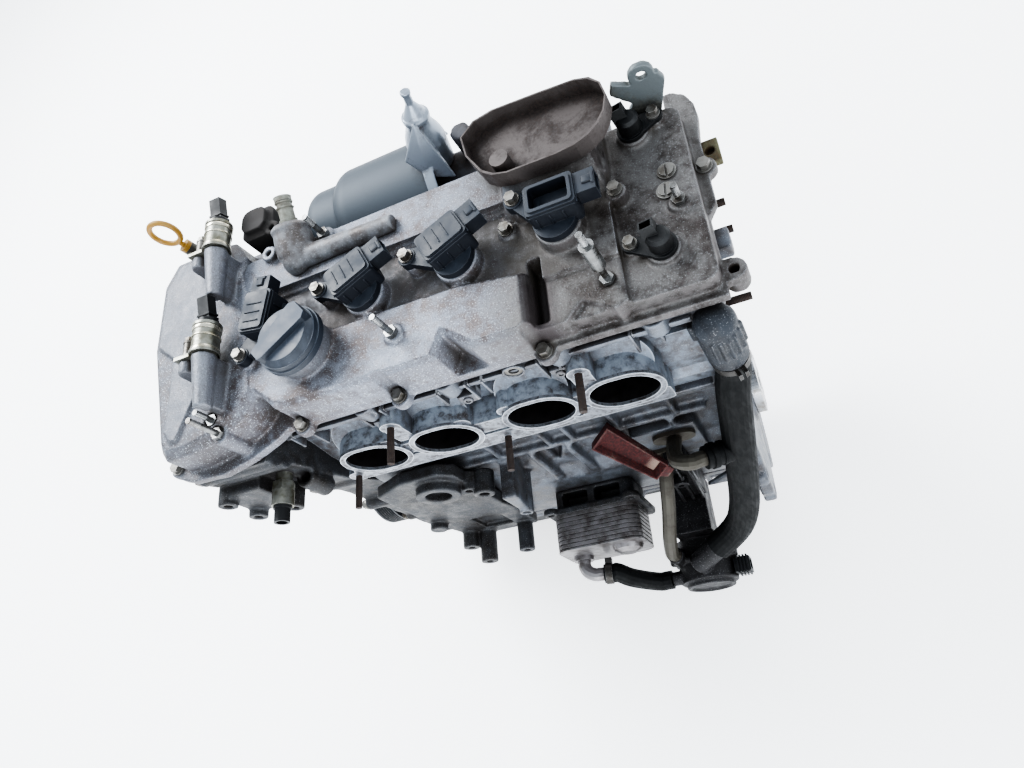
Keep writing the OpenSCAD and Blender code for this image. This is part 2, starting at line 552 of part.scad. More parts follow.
    // reliefs round the bolts' and studs' hexagons
    for (p = valley_bolt_pts) zcyl(bolt_flange_d / 2 + 1, z_valley + 4, z_dome + 20, p[0], p[1]);
    for (p = cover_stud_pts) zcyl(8, p[2] + 4, z_dome + 20, p[0], p[1]);
    for (i = [0:3]) zcyl(10, z_seat, z_dome + 20, coil_ear_at(i)[0], coil_ear_at(i)[1]);
    zcyl(4.5, z_cover - 10, z_flange + 1, ring_lug[0], ring_lug[1]);
    zcyl(3.5, z_plateau - 12, z_plateau + 9, -176, 92);
    for (p = valley_bolt_pts) zcyl(bolt_d / 2, z_valley - 10, z_valley + 5, p[0], p[1]);
    for (p = sens_pts) zcyl(9, z_cover - 1, z_rear + 7, p[0], p[1]);
    for (p = cover_stud_pts) zcyl(stud_d / 2 - 1, p[2] - 12, p[2] + 5, p[0], p[1]);
    for (i = [0:3]) zcyl(bolt_d / 2, z_seat - 18, z_seat + 1, coil_ear_at(i)[0], coil_ear_at(i)[1]);
  }
}
module cover_gasket() {
  color("black") difference() {
    zplate(z_house, z_cover) rrect(x_front - 60, x_cov - 4, -house_front - 2, house_back + 2, 8);
    for (x = cyl_x) zcyl(well_d / 2 + 1, z_house - 1, z_cover + 1, x, 0);
    for (x = [200, 246]) zcyl(4, z_house - 1, z_cover + 1, x, 60);
    box3(x_front - 61, x_front, -200, 200, z_house - 1, z_cover + 1);
  }
}
module cover_bolts() {
  color("gray") {
    for (p = ear_pts) translate([p[0], p[1], z_flange]) flange_bolt(bolt_flange_d, bolt_d, flange_t - 1);
    for (p = valley_bolt_pts) translate([p[0], p[1], z_valley + 4]) flange_bolt(bolt_flange_d - 1, bolt_d - 0.2, 10);
  }
}
module cover_studs() {
  color("lightgray") for (i = [0:5]) let (p = cover_stud_pts[i]) {
    zcyl(stud_d / 2 - 1, p[2] - 12, p[2] + stud_len[i], p[0], p[1]);
    zcyl(6.5, p[2] + 4, p[2] + 9, p[0], p[1], $fn = 6);
  }
  color("lightgray") let (p = cover_stud_pts[1]) zcyl(6.5, p[2] + 28, p[2] + 58, p[0], p[1]);
}

// ---------- oil filler cap ----------
module oil_filler_cap() {
  r = cap_d / 2;
  color("darkslategray") translate([cap_pos[0], cap_pos[1], z_filler]) {
    // stepped rim
    cylinder(r = r, h = cap_h * 0.28);
    translate([0, 0, cap_h * 0.28 - eps]) cylinder(r1 = r - 1.2, r2 = r - 2, h = cap_h * 0.2);
    translate([0, 0, cap_h * 0.48 - eps]) cylinder(r1 = r - 3, r2 = r - 8, h = cap_h * 0.26);
    // grip bar, widening toward one end
    translate([0, 0, cap_h * 0.4]) rotate([0, 0, 38]) linear_extrude(cap_h * 0.6)
      polygon([[-r + 4, -6], [-r + 8, -8], [r - 10, -13], [r - 4, -9], [r - 4, 9], [r - 10, 13], [-r + 8, 8], [-r + 4, 6]]);
    translate([0, 0, -14]) cylinder(r = r - 9 - run_fit, h = 15);
  }
}

// ---------- ignition coils ----------
boot_d = well_d - 6;
coil_h = 26;
module coil(i) {
  translate([cyl_x[i], 0, z_seat]) rotate([0, 0, coil_turn[i]]) {
    translate([0, 0, -118]) cylinder(d = boot_d, h = 119);
    cylinder(r = well_d / 2 + 5, h = 7);
    difference() {
      union() {
        linear_extrude(coil_h) rrect(-19, 26, -6, 26, 4);
        linear_extrude(8) polygon([[-12, -8], [-8, 26], [coil_ear[0] + 4, coil_ear[1] + 8], [coil_ear[0] - 8, coil_ear[1]]]);
        translate([coil_ear[0], coil_ear[1], 0]) cylinder(r = 9, h = 9);
        // lid, or on the last coil the rim round its open well
        translate([0, 0, coil_h - eps]) linear_extrude(2) rrect(-17, 24, -4, 24, 4);
      }
      if (i == 3) translate([0, 0, coil_h - 12]) linear_extrude(16) rrect(-14, 21, -1, 21, 3);
      translate([coil_ear[0], coil_ear[1], -1]) cylinder(d = bolt_d + 1, h = 12);
    }
    // connector shell
    difference() {
      translate([24, 2, 8]) cube([20, 22, 15]);
      translate([31, 4.5, 10.5]) cube([14, 17, 10]);
    }
  }
}
module ignition_coil_1() { color("darkslategray") coil(0); }
module ignition_coil_2() { color("darkslategray") coil(1); }
module ignition_coil_3() { color("darkslategray") coil(2); }
module ignition_coil_4() { color("darkslategray") coil(3); }
module coil_bolts() {
  color("silver") for (i = [0:3]) translate([coil_ear_at(i)[0], coil_ear_at(i)[1], z_seat + 9])
    flange_bolt(14, bolt_d - 0.2, 22);
}

// ---------- camshaft position sensors ----------
module cam_sensor(p, lug) {
  translate([p[0], p[1], z_rear + 6]) {
    translate([0, 0, -24]) cylinder(r = 8.9, h = 25);
    cylinder(r = 10.5, h = 17);
    translate([0, 0, 17 - eps]) cylinder(r1 = 10.5, r2 = 8, h = 3);
    // oval foot with its bolt lug
    difference() {
      union() {
        cylinder(r = 13, h = 4);
        translate(lug) cylinder(r = 7.5, h = 4);
        rotate([0, 0, atan2(lug[1], lug[0])]) linear_extrude(3.4) polygon([[0, -12.5], [norm(lug), -7], [norm(lug), 7], [0, 12.5]]);
      }
      translate([lug[0], lug[1], -1]) cylinder(d = bolt_d, h = 7);
    }
    // connector shell, leaning out of the body
    translate([-4, 3, 13]) rotate([-14, -10, 0]) difference() {
      translate([-6.5, -5.5, 0]) cube([13, 11, 15]);
      translate([-4.8, -3.8, 5]) cube([9.6, 7.6, 11]);
    }
  }
}
module intake_cam_sensor() { color("black") cam_sensor(sens_pts[0], sens_lug[0]); }
module exhaust_cam_sensor() { color("black") cam_sensor(sens_pts[1], sens_lug[1]); }
module small_bolts() {
  color("silver") for (i = [0:1]) let (p = sens_pts[i] + sens_lug[i]) translate([p[0], p[1], z_rear + 10]) flange_bolt(12.5, bolt_d - 0.2, 3.5);
  color("silver") for (y = ocv_y) translate([ocv_x - 24, y + 4, ocv_z - 2]) rotate([-90, 0, 0]) {
    cylinder(r = 6, h = 17);
    translate([0, 0, 17]) flange_bolt(13, bolt_d - 0.2, 0);
    translate([0, 0, -3.5]) cylinder(d = bolt_d - 0.2, h = 4);
  }
  color("silver") for (x = hook_x) translate([x, hook_y + 6, z_head + 11]) rotate([-90, 0, 0]) flange_bolt(13, bolt_d - 0.2, 9);
}

// ---------- oil control valves ----------
module ocv(y) {
  translate([ocv_x, y, ocv_z]) rotate([-90, 0, 0]) {
    translate([0, 0, -28]) cylinder(r = ocv_r - 6.5 - run_fit, h = 29);
    cylinder(r = ocv_r, h = ocv_len);
    cylinder(r = ocv_r + 1.5, h = 2.5);
    translate([0, 0, ocv_len - 3]) cylinder(r = ocv_r + 1, h = 3);
    difference() {
      translate([-33, -8, 0]) cube([27, 16, 4]);
      translate([-24, 2, -1]) cylinder(d = bolt_d, h = 6);
    }
  }
}
module ocv_plug(y) {
  translate([ocv_x, y + ocv_len, ocv_z]) rotate([-90, 0, 0]) {
    cylinder(r = ocv_r - 3, h = 6);
    translate([0, 0, 5]) rotate([14, 0, 0]) difference() {
      union() {
        translate([-7, -5.5, -1]) cube([14, 11, 28]);
        for (h = [2, 6]) translate([-8, -6.5, h]) cube([16, 13, 2]);
      }
      translate([-5, -3.5, 15]) cube([10, 7, 14]);
    }
  }
}
module intake_oil_control_valve() { color("silver") ocv(ocv_y[0]); }
module exhaust_oil_control_valve() { color("silver") ocv(ocv_y[1]); }
module oil_valve_connectors() { color("black") for (y = ocv_y) ocv_plug(y); }

// ---------- timing cover ----------
module timing_profile() {
  polygon([[-66, z_rail], [66, z_rail], [84, crank_z - 40], [88, crank_z + 60], [104, z_deck], [134, z_head], [142, z_house],
    [142, z_cover], [-116, z_cover], [-108, z_head], [-92, z_deck + 10], [-74, z_deck - 60], [-70, crank_z + 20], [-68, crank_z - 60]]);
}
t_edge = [[-60, z_rail + 12], [60, z_rail + 12], [-66, crank_z], [-76, crank_z + 100], [-84, z_deck - 9], [-104, z_head - 6],
  [80, crank_z], [84, crank_z + 90], [98, z_deck - 9], [116, z_head - 22], [124, z_house - 12], [-108, z_house - 12], [-12, z_house - 12], [40, z_house - 12]];
function t_face(p) = p[1] > z_deck + 10 ? x_time + 2 : x_low;
module timing_cover() {
  color("silver") difference() {
    union() {
      xplate(x_low, x_front) timing_profile();
      xplate(x_time + 10, x_front) intersection() {
        timing_profile();
        translate([-140, z_deck + 6]) square([280, z_cover - z_deck - 6]);
      }
      // perimeter bosses
      for (p = t_edge) xcyl(9, t_face(p), x_front, p[0], p[1]);
      // raised chain tunnel and crankshaft seal boss
      hull() {
        xcyl(50, x_low - 6, x_low + 1, 0, crank_z);
        xcyl(40, x_low - 6, x_low + 1, -36, z_deck - 30);
        xcyl(40, x_low - 6, x_low + 1, 44, z_deck - 30);
      }
      for (y = [-56, 62]) xcyl(36, x_time, x_time + 11, y, z_head - 36);
      xcyl(32, x_low - 2, x_low + 4, 0, crank_z);
      // engine mount pads and ribbed block of the inlet side
      for (x = [x_time + 4, x_front - 44]) ycyl(11, -130, -90, x, z_deck + 50);
      ycyl(11, -130, -90, x_time + 4, z_deck + 98);
      box3(x_time - 2, x_front - 46, -122, -88, z_deck + 46, z_deck + 108);
      zcyl(12, z_deck + 34, z_deck + 74, x_front - 12, -106);
      // seat of the oil pressure switch
      ycyl(14, -104, -84, x_front - 28, z_deck + 88);
    }
    xcyl(journal_d / 2 + run_fit, x_low + 29, x_front + 1, 0, crank_z);
    xcyl(snout_d / 2 + run_fit, x_low - 8, x_low + 30, 0, crank_z);
    ycyl(5, -131, -102.5, x_time + 4, z_deck + 50);
    ycyl(5, -131, -105, x_front - 44, z_deck + 50);
    ycyl(5, -131, -107.5, x_time + 4, z_deck + 98);
    zcyl(6, z_deck + 50, z_deck + 75, x_front - 12, -106);
    for (p = t_edge) xcyl(bolt_d / 2 + fit, t_face(p) - 1, t_face(p) + 12, p[0], p[1]);
    // the cover's casting stops at the camshaft cover
    box3(x_time - 20, x_front + 1, -300, 300, z_cover, z_cover + 40);
  }
}
module timing_cover_bolts() {
  color("gray") for (p = t_edge) translate([t_face(p), p[0], p[1]]) rotate([0, -90, 0]) flange_bolt(bolt_flange_d, bolt_d, 11);
}

// ---------- dipstick ----------
dip_top = [x_time + 4, 162, z_dome - 10];
dip_low = [x_front + 12, case_half_w + 8, z_skirt + 30];
dip_dir = unit(dip_low - dip_top);
dip_len = norm(dip_low - dip_top);
dip_bore = 4;
module dipstick_tube() {
  color("gray") difference() {
    union() {
      aim(dip_low, -dip_dir) cylinder(r = dip_bore + 1.5, h = dip_len);
      aim(dip_top, dip_dir) cylinder(r = dip_bore + 4, h = 14);
      // bracket on the block
      translate([0, 0, z_skirt + 26]) linear_extrude(10) polygon([[x_front + 2, case_half_w], [x_front + 24, case_half_w],
        [x_front + 20, dip_low[1] + 6], [x_front + 4, dip_low[1] + 6]]);
    }
    aim(dip_low + 12 * -dip_dir, -dip_dir) cylinder(r = dip_bore, h = dip_len);
  }
}
ring_r = 17;
module dipstick() {
  color("goldenrod") aim(dip_top, -dip_dir) {
    translate([0, 0, -dip_len + 60]) cylinder(r = 2.2, h = dip_len - 60);
    translate([0, 0, -16]) cylinder(r = dip_bore - run_fit, h = 16);
    translate([0, 0, 0.05]) cylinder(r = dip_bore + 4, h = 5);
    cylinder(r = 3, h = 14);
    translate([0, 0, 12 + ring_r]) rotate([90, 0, 25]) rotate_extrude($fn = 48) translate([ring_r, 0]) circle(3.2, $fn = 20);
  }
}

// ---------- breather duct on the exhaust bank ----------
duct_r = 12.5;
duct_y = 70;
duct_x = [-138, -22];
vent_dir = unit([0, 0.88, 0.47]);
vent_at = [duct_x[0], duct_y + 8, z_plateau + 6];
module breather_duct() {
  color("darkgray") difference() {
    union() {
      translate([duct_x[0], duct_y, z_plateau + 4]) rotate([0, 90, 0]) cylinder(r1 = duct_r, r2 = duct_r - 4, h = duct_x[1] - duct_x[0]);
      translate([duct_x[0], duct_y, z_plateau + 4]) sphere(duct_r + 4);
      aim(vent_at, vent_dir) rotate_extrude()
        polygon([[0, -16], [14, -16], [20.5, -2], [21, 8], [19.5, 22], [21, 23], [21, 26], [17, 30], [0, 30]]);
    }
    zcyl(10.5, z_plateau - 1, z_plateau + 30, cover_stud_pts[5][0], cover_stud_pts[5][1]);
    box3(-200, 20, 20, 200, z_plateau - 40, z_plateau);
    box3(-200, 20, cov_back - 5, 200, z_plateau - 1, z_plateau + 1);
    aim(vent_at + 16 * vent_dir, vent_dir) cylinder(r = 7, h = 20);
  }
}
module breather_nipple() {
  color("tan") aim(vent_at + (30 + eps) * vent_dir, vent_dir) difference() {
    union() {
      cylinder(r = 9.5, h = 5);
      cylinder(r = 8, h = 30);
      translate([0, 0, 25]) cylinder(r = 9, h = 5);
    }
    translate([0, 0, -1]) cylinder(r = 6, h = 34);
  }
}
module side_housing() {
  color("dimgray") difference() {
    union() {
      zplate(z_port + 20, z_flange + 44) rrect(x_front - 6, x_front + 36, 126, 166, 10);
      zplate(z_flange + 44 - eps, z_flange + 52) rrect(x_front - 1, x_front + 31, 131, 161, 10);
      box3(x_front + 4, x_front + 31, exh_wall, 128, z_port + 20, z_port + 50);
      zcyl(9, z_flange + 20, z_flange + 46, x_front + 36, 131);
    }
    zcyl(3.5, z_flange + 10, z_flange + 47, x_front + 36, 131);
    box3(x_front - 20, x_front + fit, 80, 200, 0, z_cover + fit);
  }
}

// ---------- exhaust manifold and heat shields ----------
log_y = 176;
log_z = z_port + 52;
log_r = 34;
mani_t = 10;
out_x = 92;
module exhaust_manifold() {
  color("rosybrown") difference() {
    union() {
      yplate(exh_wall, exh_wall + mani_t) for (x = cyl_x) translate([x, z_port + 10]) {
        circle(25);
        for (s = [-1, 1]) translate([s * 30, s * 16]) circle(10);
        if (x < cyl_x[3]) translate([0, -8]) square([bore_pitch, 16]);
      }
      for (x = cyl_x) {
        ycyl(22, exh_wall + mani_t - eps, log_y - 14, x, z_port + 10);
        translate([x, log_y - 14, z_port + 10]) sphere(22);
      }
      xcyl(log_r, cyl_x[0] + 20, cyl_x[3] + 10, log_y, log_z);
      for (x = [cyl_x[0] + 20, cyl_x[3] + 10]) translate([x, log_y, log_z]) sphere(log_r);
      // sensor stub between the two shields
      zcyl(11, log_z, log_z + 72, 45, log_y);
      // seats of the left heat shield
      for (x = [-96, -36]) zcyl(7, log_z, log_z + 62 - shield_t - 0.4, x, log_y);
      // outlet with its three-hole flange
      zcyl(30, log_z - log_r - 30, log_z, out_x, log_y);
      zplate(log_z - log_r - 40, log_z - log_r - 28) translate([out_x, log_y]) {
        circle(36);
        for (a = [30:120:270]) rotate(a) translate([40, 0]) circle(11);
      }
    }
    for (x = cyl_x) ycyl(17, exh_wall - 1, log_y - 16, x, z_port + 10);
    zcyl(24, log_z - log_r - 41, log_z, out_x, log_y);
    for (a = [30:120:270]) zcyl(4.5, log_z - log_r - 41, log_z - log_r - 27, out_x + 40 * cos(a), log_y + 40 * sin(a));
    for (x = cyl_x, s = [-1, 1]) ycyl(4.5, exh_wall - 1, exh_wall + mani_t + 1, x + s * 30, z_port + 10 + s * 16);
  }
}
module manifold_nuts() {
  color("gray") for (x = cyl_x, s = [-1, 1]) translate([x + s * 30, exh_wall, z_port + 10 + s * 16]) rotate([-90, 0, 0]) {
    cylinder(r = stud_d / 2, h = mani_t + 14);
    translate([0, 0, mani_t]) cylinder(r = 7, h = 8, $fn = 6);
  }
}
shield_t = 1.6;
// barrel-shaped sheet turned about the log's axis
module shield_barrel(x0, x1, r, round) {
  translate([x0, log_y, log_z]) rotate([0, 90, 0]) rotate([0, 0, 70]) rotate_extrude(angle = 195, $fn = 64)
    difference() {
      union() {
        square([r - round, x1 - x0]);
        translate([0, round]) square([r, x1 - x0 - round]);
        translate([r - round, round]) circle(round);
      }
      translate([0, shield_t]) {
        square([r - round, x1 - x0]);
        translate([0, round - shield_t]) square([r - shield_t, x1 - x0]);
        translate([r - round, round - shield_t]) circle(round - shield_t);
      }
      translate([-r, -r]) square([r, 4 * r + x1 - x0]);
    }
}
module exhaust_shield_left() {
  color("silver") {
    shield_barrel(-176, -118, 52, 22);
    difference() {
      shield_barrel(-134, -6, 62, 26);
      xcyl(51.5, -140, -120, log_y, log_z);
    }
  }
}
module shield_clamp() {
  color("gray") {
    translate([-6, log_y, log_z]) rotate([0, 90, 0]) difference() {
      cylinder(r = 66, h = 12, $fn = 64);
      translate([0, 0, -1]) cylinder(r = 63, h = 14, $fn = 64);
      translate([-20, -100, -1]) cube([120, 200, 14]);
    }
    difference() {
      union() {
        // tapered collar with its stud
        aim([3, log_y + 10, log_z + 63], unit([0.22, 0, 0.97])) rotate_extrude() polygon([[0, -30], [22, -30], [22, 8],
          [20, 16], [14.5, 29], [13, 36], [14.8, 37], [14.8, 42], [12.5, 43], [7, 53], [4.5, 58], [4.2, 68], [5.5, 69], [5.5, 73], [0, 73]]);
        // folded sheet leaning toward the cover
        hull() for (p = [[11.6, 170, 106], [-2, 150, 54], [22, 150, 41], [-16.6, 160, 76], [8, 184, 78]])
          translate([p[0], p[1], log_z + p[2]]) sphere(1.2, $fn = 16);
      }
      xcyl(62.6, -140, -5.9, log_y, log_z);
      xcyl(log_r + 0.3, -60, 80, log_y, log_z);
    }
  }
}
rim_h = 18;
module rim_shape(m) {
  polygon([[88 + m, 58 + m], [98 + m, 50 + m], [112, 46 + m], [158, 45 + m], [176, 47 + m], [189 - m, 52 + m], [199 - m, 60 + m],
    [206 - m, 72], [210 - m, 88], [207 - m, 104], [198 - m, 115 - m], [184, 120 - m], [150, 123 - m], [104 + m, 126 - m],
    [84 + m, 122 - m], [70 + m, 108], [74 + m, 84]]);
}
module exhaust_shield_right() {
  color("rosybrown") difference() {
    union() {
      zplate(z_plateau + 16, z_plateau + 16 + rim_h) rim_shape(0);
      zcyl(9, z_plateau + 16, z_plateau + 24, 106, 66);
    }
    zplate(z_plateau + 16 + shield_t, z_plateau + 17 + rim_h) difference() {
      rim_shape(shield_t);
      translate([106, 66]) circle(9);
    }
    zcyl(3.5, z_plateau + 10, z_plateau + 26, 106, 66);
  }
}

// ---------- rear end ----------
module lifting_hook() {
  color("gray") {
    yplate(hook_y, hook_y + 6) difference() {
      union() {
        polygon([[206, z_head + 2], [243, z_head + 2], [246, z_flange + 16], [258, z_flange + 50], [254, z_flange + 60], [240, z_flange + 62],
          [231, z_flange + 56], [214, z_flange + 66], [209, z_flange + 55], [225, z_flange + 36], [206, z_flange + 12]]);
        translate([240, z_flange + 63]) circle(11.5);
      }
      translate([240, z_flange + 63]) circle(4.4);
      for (x = hook_x) translate([x, z_head + 11]) circle(bolt_d / 2 + fit);
    }
  }
}
module rear_bracket() {
  color("saddlebrown") difference() {
    union() {
      box3(x_head + 6, x_head + 9, 54, 80, z_head + 1, z_house - 2);
      box3(x_head + 6, x_head + 34, 54, 80, z_house - 11, z_house - 2);
    }
    zcyl(4.5, z_house - 9, z_house, x_head + 25, 67);
  }
}
rear_stud_pts = [[18, z_head + 6], [2, z_head - 14], [-66, z_head - 22]];
module rear_studs() {
  color("dimgray") for (p = rear_stud_pts) xcyl(stud_d / 2 - 0.5, x_head - (p[1] > z_head ? -6 : 0), x_head + 26, p[0], p[1]);
}
module intake_studs() {
  color("dimgray") for (p = stud_pts) {
    ycyl(stud_d / 2 - 0.05, -intake_face + eps, -intake_face + 13, p[0], z_port + p[1]);
    ycyl(stud_d / 2 - 0.3, -intake_face - 38, -intake_face + 0.1, p[0], z_port + p[1]);
  }
}
module slotted_screws() {
  color("silver") for (p = [[238, 33], [234, 13]]) translate([p[0], p[1], z_rear]) difference() {
    union() {
      cylinder(r = 8.5, h = 2);
      cylinder(r = 6.5, h = 4);
    }
    rotate([0, 0, 30 + p[0]]) translate([-8, -1, 2.2]) cube([16, 2, 3]);
  }
}

// ---------- cooling ----------
outlet_at = [242, -93.5];
neck_z = z_port + 2;
module water_outlet() {
  color("silver") difference() {
    union() {
      zcyl(hose_d / 2 + 2, neck_z, z_port + 62, outlet_at[0], outlet_at[1]);
      translate([outlet_at[0], outlet_at[1], z_port + 62]) sphere(hose_d / 2 + 2);
      box3(outlet_at[0] - 20, x_head + 4, outlet_at[1], -head_wall - 14, z_port + 24, z_port + 58);
      box3(outlet_at[0] - 26, x_head + 4, -head_wall - 14, -head_wall, z_port + 22, z_port + 48);
      // stiffening ribs round the elbow
      for (a = [-110:20:-10]) translate([outlet_at[0], outlet_at[1], z_port + 22]) rotate([0, 0, a])
        box3(10, hose_d / 2 + 5, -1.2, 1.2, 3.5, 38.5);
    }
    zcyl(hose_d / 2 - 6, neck_z - 1, z_port + 40, outlet_at[0], outlet_at[1]);
    // room for a nut on the lower rear stud
    xcyl(9, x_head - 1, x_head + 30, rear_stud_pts[2][0], rear_stud_pts[2][1]);
    xplate(150, x_head + eps) head_profile();
    box3(150, x_head + 1, -head_wall, 0, z_deck, z_head);
    box3(150, x_head + 30, -house_front, 0, z_head, z_house);
  }
}
hose_pts = [[242, -93.5, neck_z - 15], [240.5, -95.8, neck_z - 29], [233, -107, 416], [219, -134, 336], [205, -158, 260],
  [194, -170, 218], [182, -177, 192], [166, -184, 176], [150, -190, 164]];
hose_path = concat([[242, -93.5, neck_z]], route(hose_pts, 3));
module coolant_hose() {
  color("darkslategray") {
    sweep(hose_path, hose_d / 2, [0, 1, 0.2], 20);
    hose_branch_shape();
  }
}
branch_at = [219, -134, 336];
branch_dir = unit([-38, -10, 18]);
module hose_branch_shape() {
  union() {
    aim(branch_at + 8 * branch_dir, branch_dir) union() {
      cylinder(r = pipe_d / 2 + 4, h = 32);
      translate([0, 0, 20]) cylinder(r = pipe_d / 2 + 5.5, h = 6);
      translate([0, 0, 11.5]) cylinder(r = pipe_d / 2 + 5, h = 3);
    }
  }
}
pump_at = [122, -206, 104];
pump_l = 70;
module water_pump() {
  color("dimgray") difference() {
    union() {
      ycyl(pump_d / 2, pump_at[1] - 14, pump_at[1] + pump_l - 30, pump_at[0], pump_at[2]);
      ycyl(pump_d / 2 - 5, pump_at[1] - 20, pump_at[1] - 13, pump_at[0], pump_at[2]);
      ycyl(pump_d / 2 + 4, pump_at[1] + 10, pump_at[1] + 16, pump_at[0], pump_at[2]);
      for (a = [30, 150, 270]) ycyl(8, pump_at[1] + 10, pump_at[1] + 24,
        pump_at[0] + (pump_d / 2 + 5) * cos(a), pump_at[2] + (pump_d / 2 + 5) * sin(a));
      // arm to the block
      box3(pump_at[0] - 24, pump_at[0] + 24, pump_at[1] + pump_l - 31, -case_half_w, pump_at[2] + 36 - 24, pump_at[2] + 60);
      // inlet, outlet and bypass necks
      aim([150, -190, 164], -tangent(hose_path, len(hose_path) - 1)) translate([0, 0, -42]) cylinder(r = hose_d / 2 - 3, h = 42);
      zcyl(pipe_d / 2 + 2, pump_at[2], pump_at[2] + 46, pump_at[0] - 30, pump_at[1] + 18);
      xcyl(small_hose_d / 2 - 3, pump_at[0] - 46, pump_at[0], pump_at[1] - 4, pump_at[2] + 10);
    }
    ycyl(pump_d / 2 - 10, pump_at[1] - 21, pump_at[1] - 17, pump_at[0], pump_at[2]);
  }
}
module pump_connector() {
  color("black") translate([pump_at[0] + pump_d / 2 - 3, pump_at[1] - 2, pump_at[2] + 6]) difference() {
    union() {
      translate([2.2, -8, -10]) cube([20, 18, 22]);
      for (i = [0:3]) translate([6 + 4 * i, -10, -12]) cube([2, 22, 26]);
    }
    translate([12, -5, -7]) cube([12, 12, 16]);
    translate(-[pump_d / 2 - 3, -2, 6]) {
      ycyl(pump_d / 2, -20, 20, 0, 0);
      ycyl(pump_d / 2 + 4, 10, 20, 0, 0);
    }
  }
}
pipe1_end = branch_at + 40 * branch_dir;
module coolant_pipe_upper() {
  color("tan") union() {
    sweep(route([[150, pipe_pad_y - 4, 316], [150, pipe_pad_y - 11, 321], [151, pipe_pad_y - 29, 338], [156, -140, 353], pipe1_end + 16 * branch_dir,
      pipe1_end + 8 * branch_dir, pipe1_end], 3), pipe_d / 2, [0, 0.3, 1], 12);
    yplate(pipe_pad_y - 5, pipe_pad_y) translate([150, 316]) stadium(13, 22);
  }
}
pipe2_end = [pump_at[0] - 30, pump_at[1] + 18, pump_at[2] + 46];
module coolant_pipe_lower() {
  color("tan") union() {
    sweep(route([[126, pipe_pad_y - 4, 270], [125, pipe_pad_y - 17, 269], [120, pipe_pad_y - 39, 258], [112, -156, 234], [100, -178, 200],
      pipe2_end + [0, 0, 16], pipe2_end + [0, 0, 8], pipe2_end], 3), pipe_d / 2, [1, 0, 0.1], 12);
    yplate(pipe_pad_y - 5, pipe_pad_y) translate([126, 270]) stadium(13, 20);
  }
}
// oil cooler, a stack of plates on a cast adapter
cool_x = [-46, 72];
cool_z = [136, 216];
adapter_y = -126;
module cooler_adapter() {
  color("silver") difference() {
    union() {
      yplate(adapter_y, -case_half_w) rrect(cool_x[0] + 6, cool_x[1] - 6, cool_z[0] + 8, cool_z[1] - 4, 12);
      yplate(adapter_y, adapter_y + 8) {
        rrect(cool_x[0] - 2, cool_x[1] + 4, cool_z[0], cool_z[1] + 4, 10);
        translate([cool_x[1] - 6, cool_z[1] + 6]) circle(11);
        translate([cool_x[0] + 4, cool_z[1] + 4]) circle(10);
      }
    }
    // lightening pockets open to the top
    for (x = [cool_x[0] + 18, cool_x[0] + 62]) box3(x, x + 34, adapter_y + 12, -case_half_w - 5, cool_z[1] - 30, cool_z[1] + 6);
    ycyl(4, adapter_y - 1, adapter_y + 9, cool_x[1] - 6, cool_z[1] + 6);
    ycyl(4, adapter_y - 1, adapter_y + 9, cool_x[0] + 4, cool_z[1] + 4);
  }
}
stack_y = adapter_y - cooler_plates * plate_pitch;
module oil_cooler() {
  color("gray") {
    for (i = [0:cooler_plates - 1]) let (y = adapter_y - i * plate_pitch) {
      yplate(y - plate_pitch * 0.72, y) rrect(cool_x[0] + 2, cool_x[1] - 4, cool_z[0] + 4, cool_z[1], 16);
      yplate(y - plate_pitch - eps, y - plate_pitch * 0.7) rrect(cool_x[0] + 4, cool_x[1] - 6, cool_z[0] + 6, cool_z[1] - 2, 15);
    }
    yplate(stack_y - 2, stack_y) rrect(cool_x[0] + 2, cool_x[1] - 4, cool_z[0] + 4, cool_z[1], 16);
    // domed ports of the outer plate
    translate([cool_x[1] - 30, stack_y - 2, cool_z[1] - 34]) rotate([90, 0, 0]) rotate_extrude()
      polygon([[0, 0], [20, 0], [18, 5], [10, 9], [0, 9]]);
    ycyl(13, stack_y - 7, stack_y, cool_x[0] + 22, cool_z[0] + 30);
    cooler_pipe();
  }
}
elbow_at = [cool_x[0] + 22, stack_y - 7, cool_z[0] + 30];
elbow_dir = unit([12, -0.6, -2.4]);
elbow_end = elbow_at + [24, -20, -3];
module cooler_pipe() {
  sweep(route([elbow_at, elbow_at + [0, -8, 0], elbow_end - 18 * elbow_dir + [-2, 4, 0], elbow_end - 12 * elbow_dir,
    elbow_end - 6 * elbow_dir, elbow_end], 3), small_hose_d / 2 - 3.5, [0, 0, 1], 12);
}
pump_neck = [pump_at[0] - 46, pump_at[1] - 4, pump_at[2] + 10];
module cooler_hose() {
  color("darkslategray") sweep(route([elbow_end, elbow_end + 13 * elbow_dir, elbow_end + 18 * elbow_dir, [30, -205, 148], [46, -208, 126],
    pump_neck - [16, 0, 0], pump_neck - [8, 0, 0], pump_neck], 3), small_hose_d / 2, [0, 1, 0.1], 14);
}
module clamp(p, d, r, w, turn) {
  aim(p, d) rotate([0, 0, turn]) translate([0, 0, -w / 2]) difference() {
    union() {
      cylinder(r = r + 1.3, h = w);
      translate([r + 0.5, -5, 0]) cube([7, 10, w]);
    }
    translate([0, 0, -1]) cylinder(r = r + 0.1, h = w + 2);
    translate([r - 2, -1.5, -1]) cube([12, 3, w + 2]);
  }
}
module hose_clamps() {
  color("dimgray") {
    clamp([outlet_at[0], outlet_at[1], neck_z - 7], [0, 0.001, 1], hose_d / 2 + 0.1, 10, 200);
    clamp(elbow_end + 6.5 * elbow_dir, elbow_dir, small_hose_d / 2 + 0.1, 9, 90);
  }
}
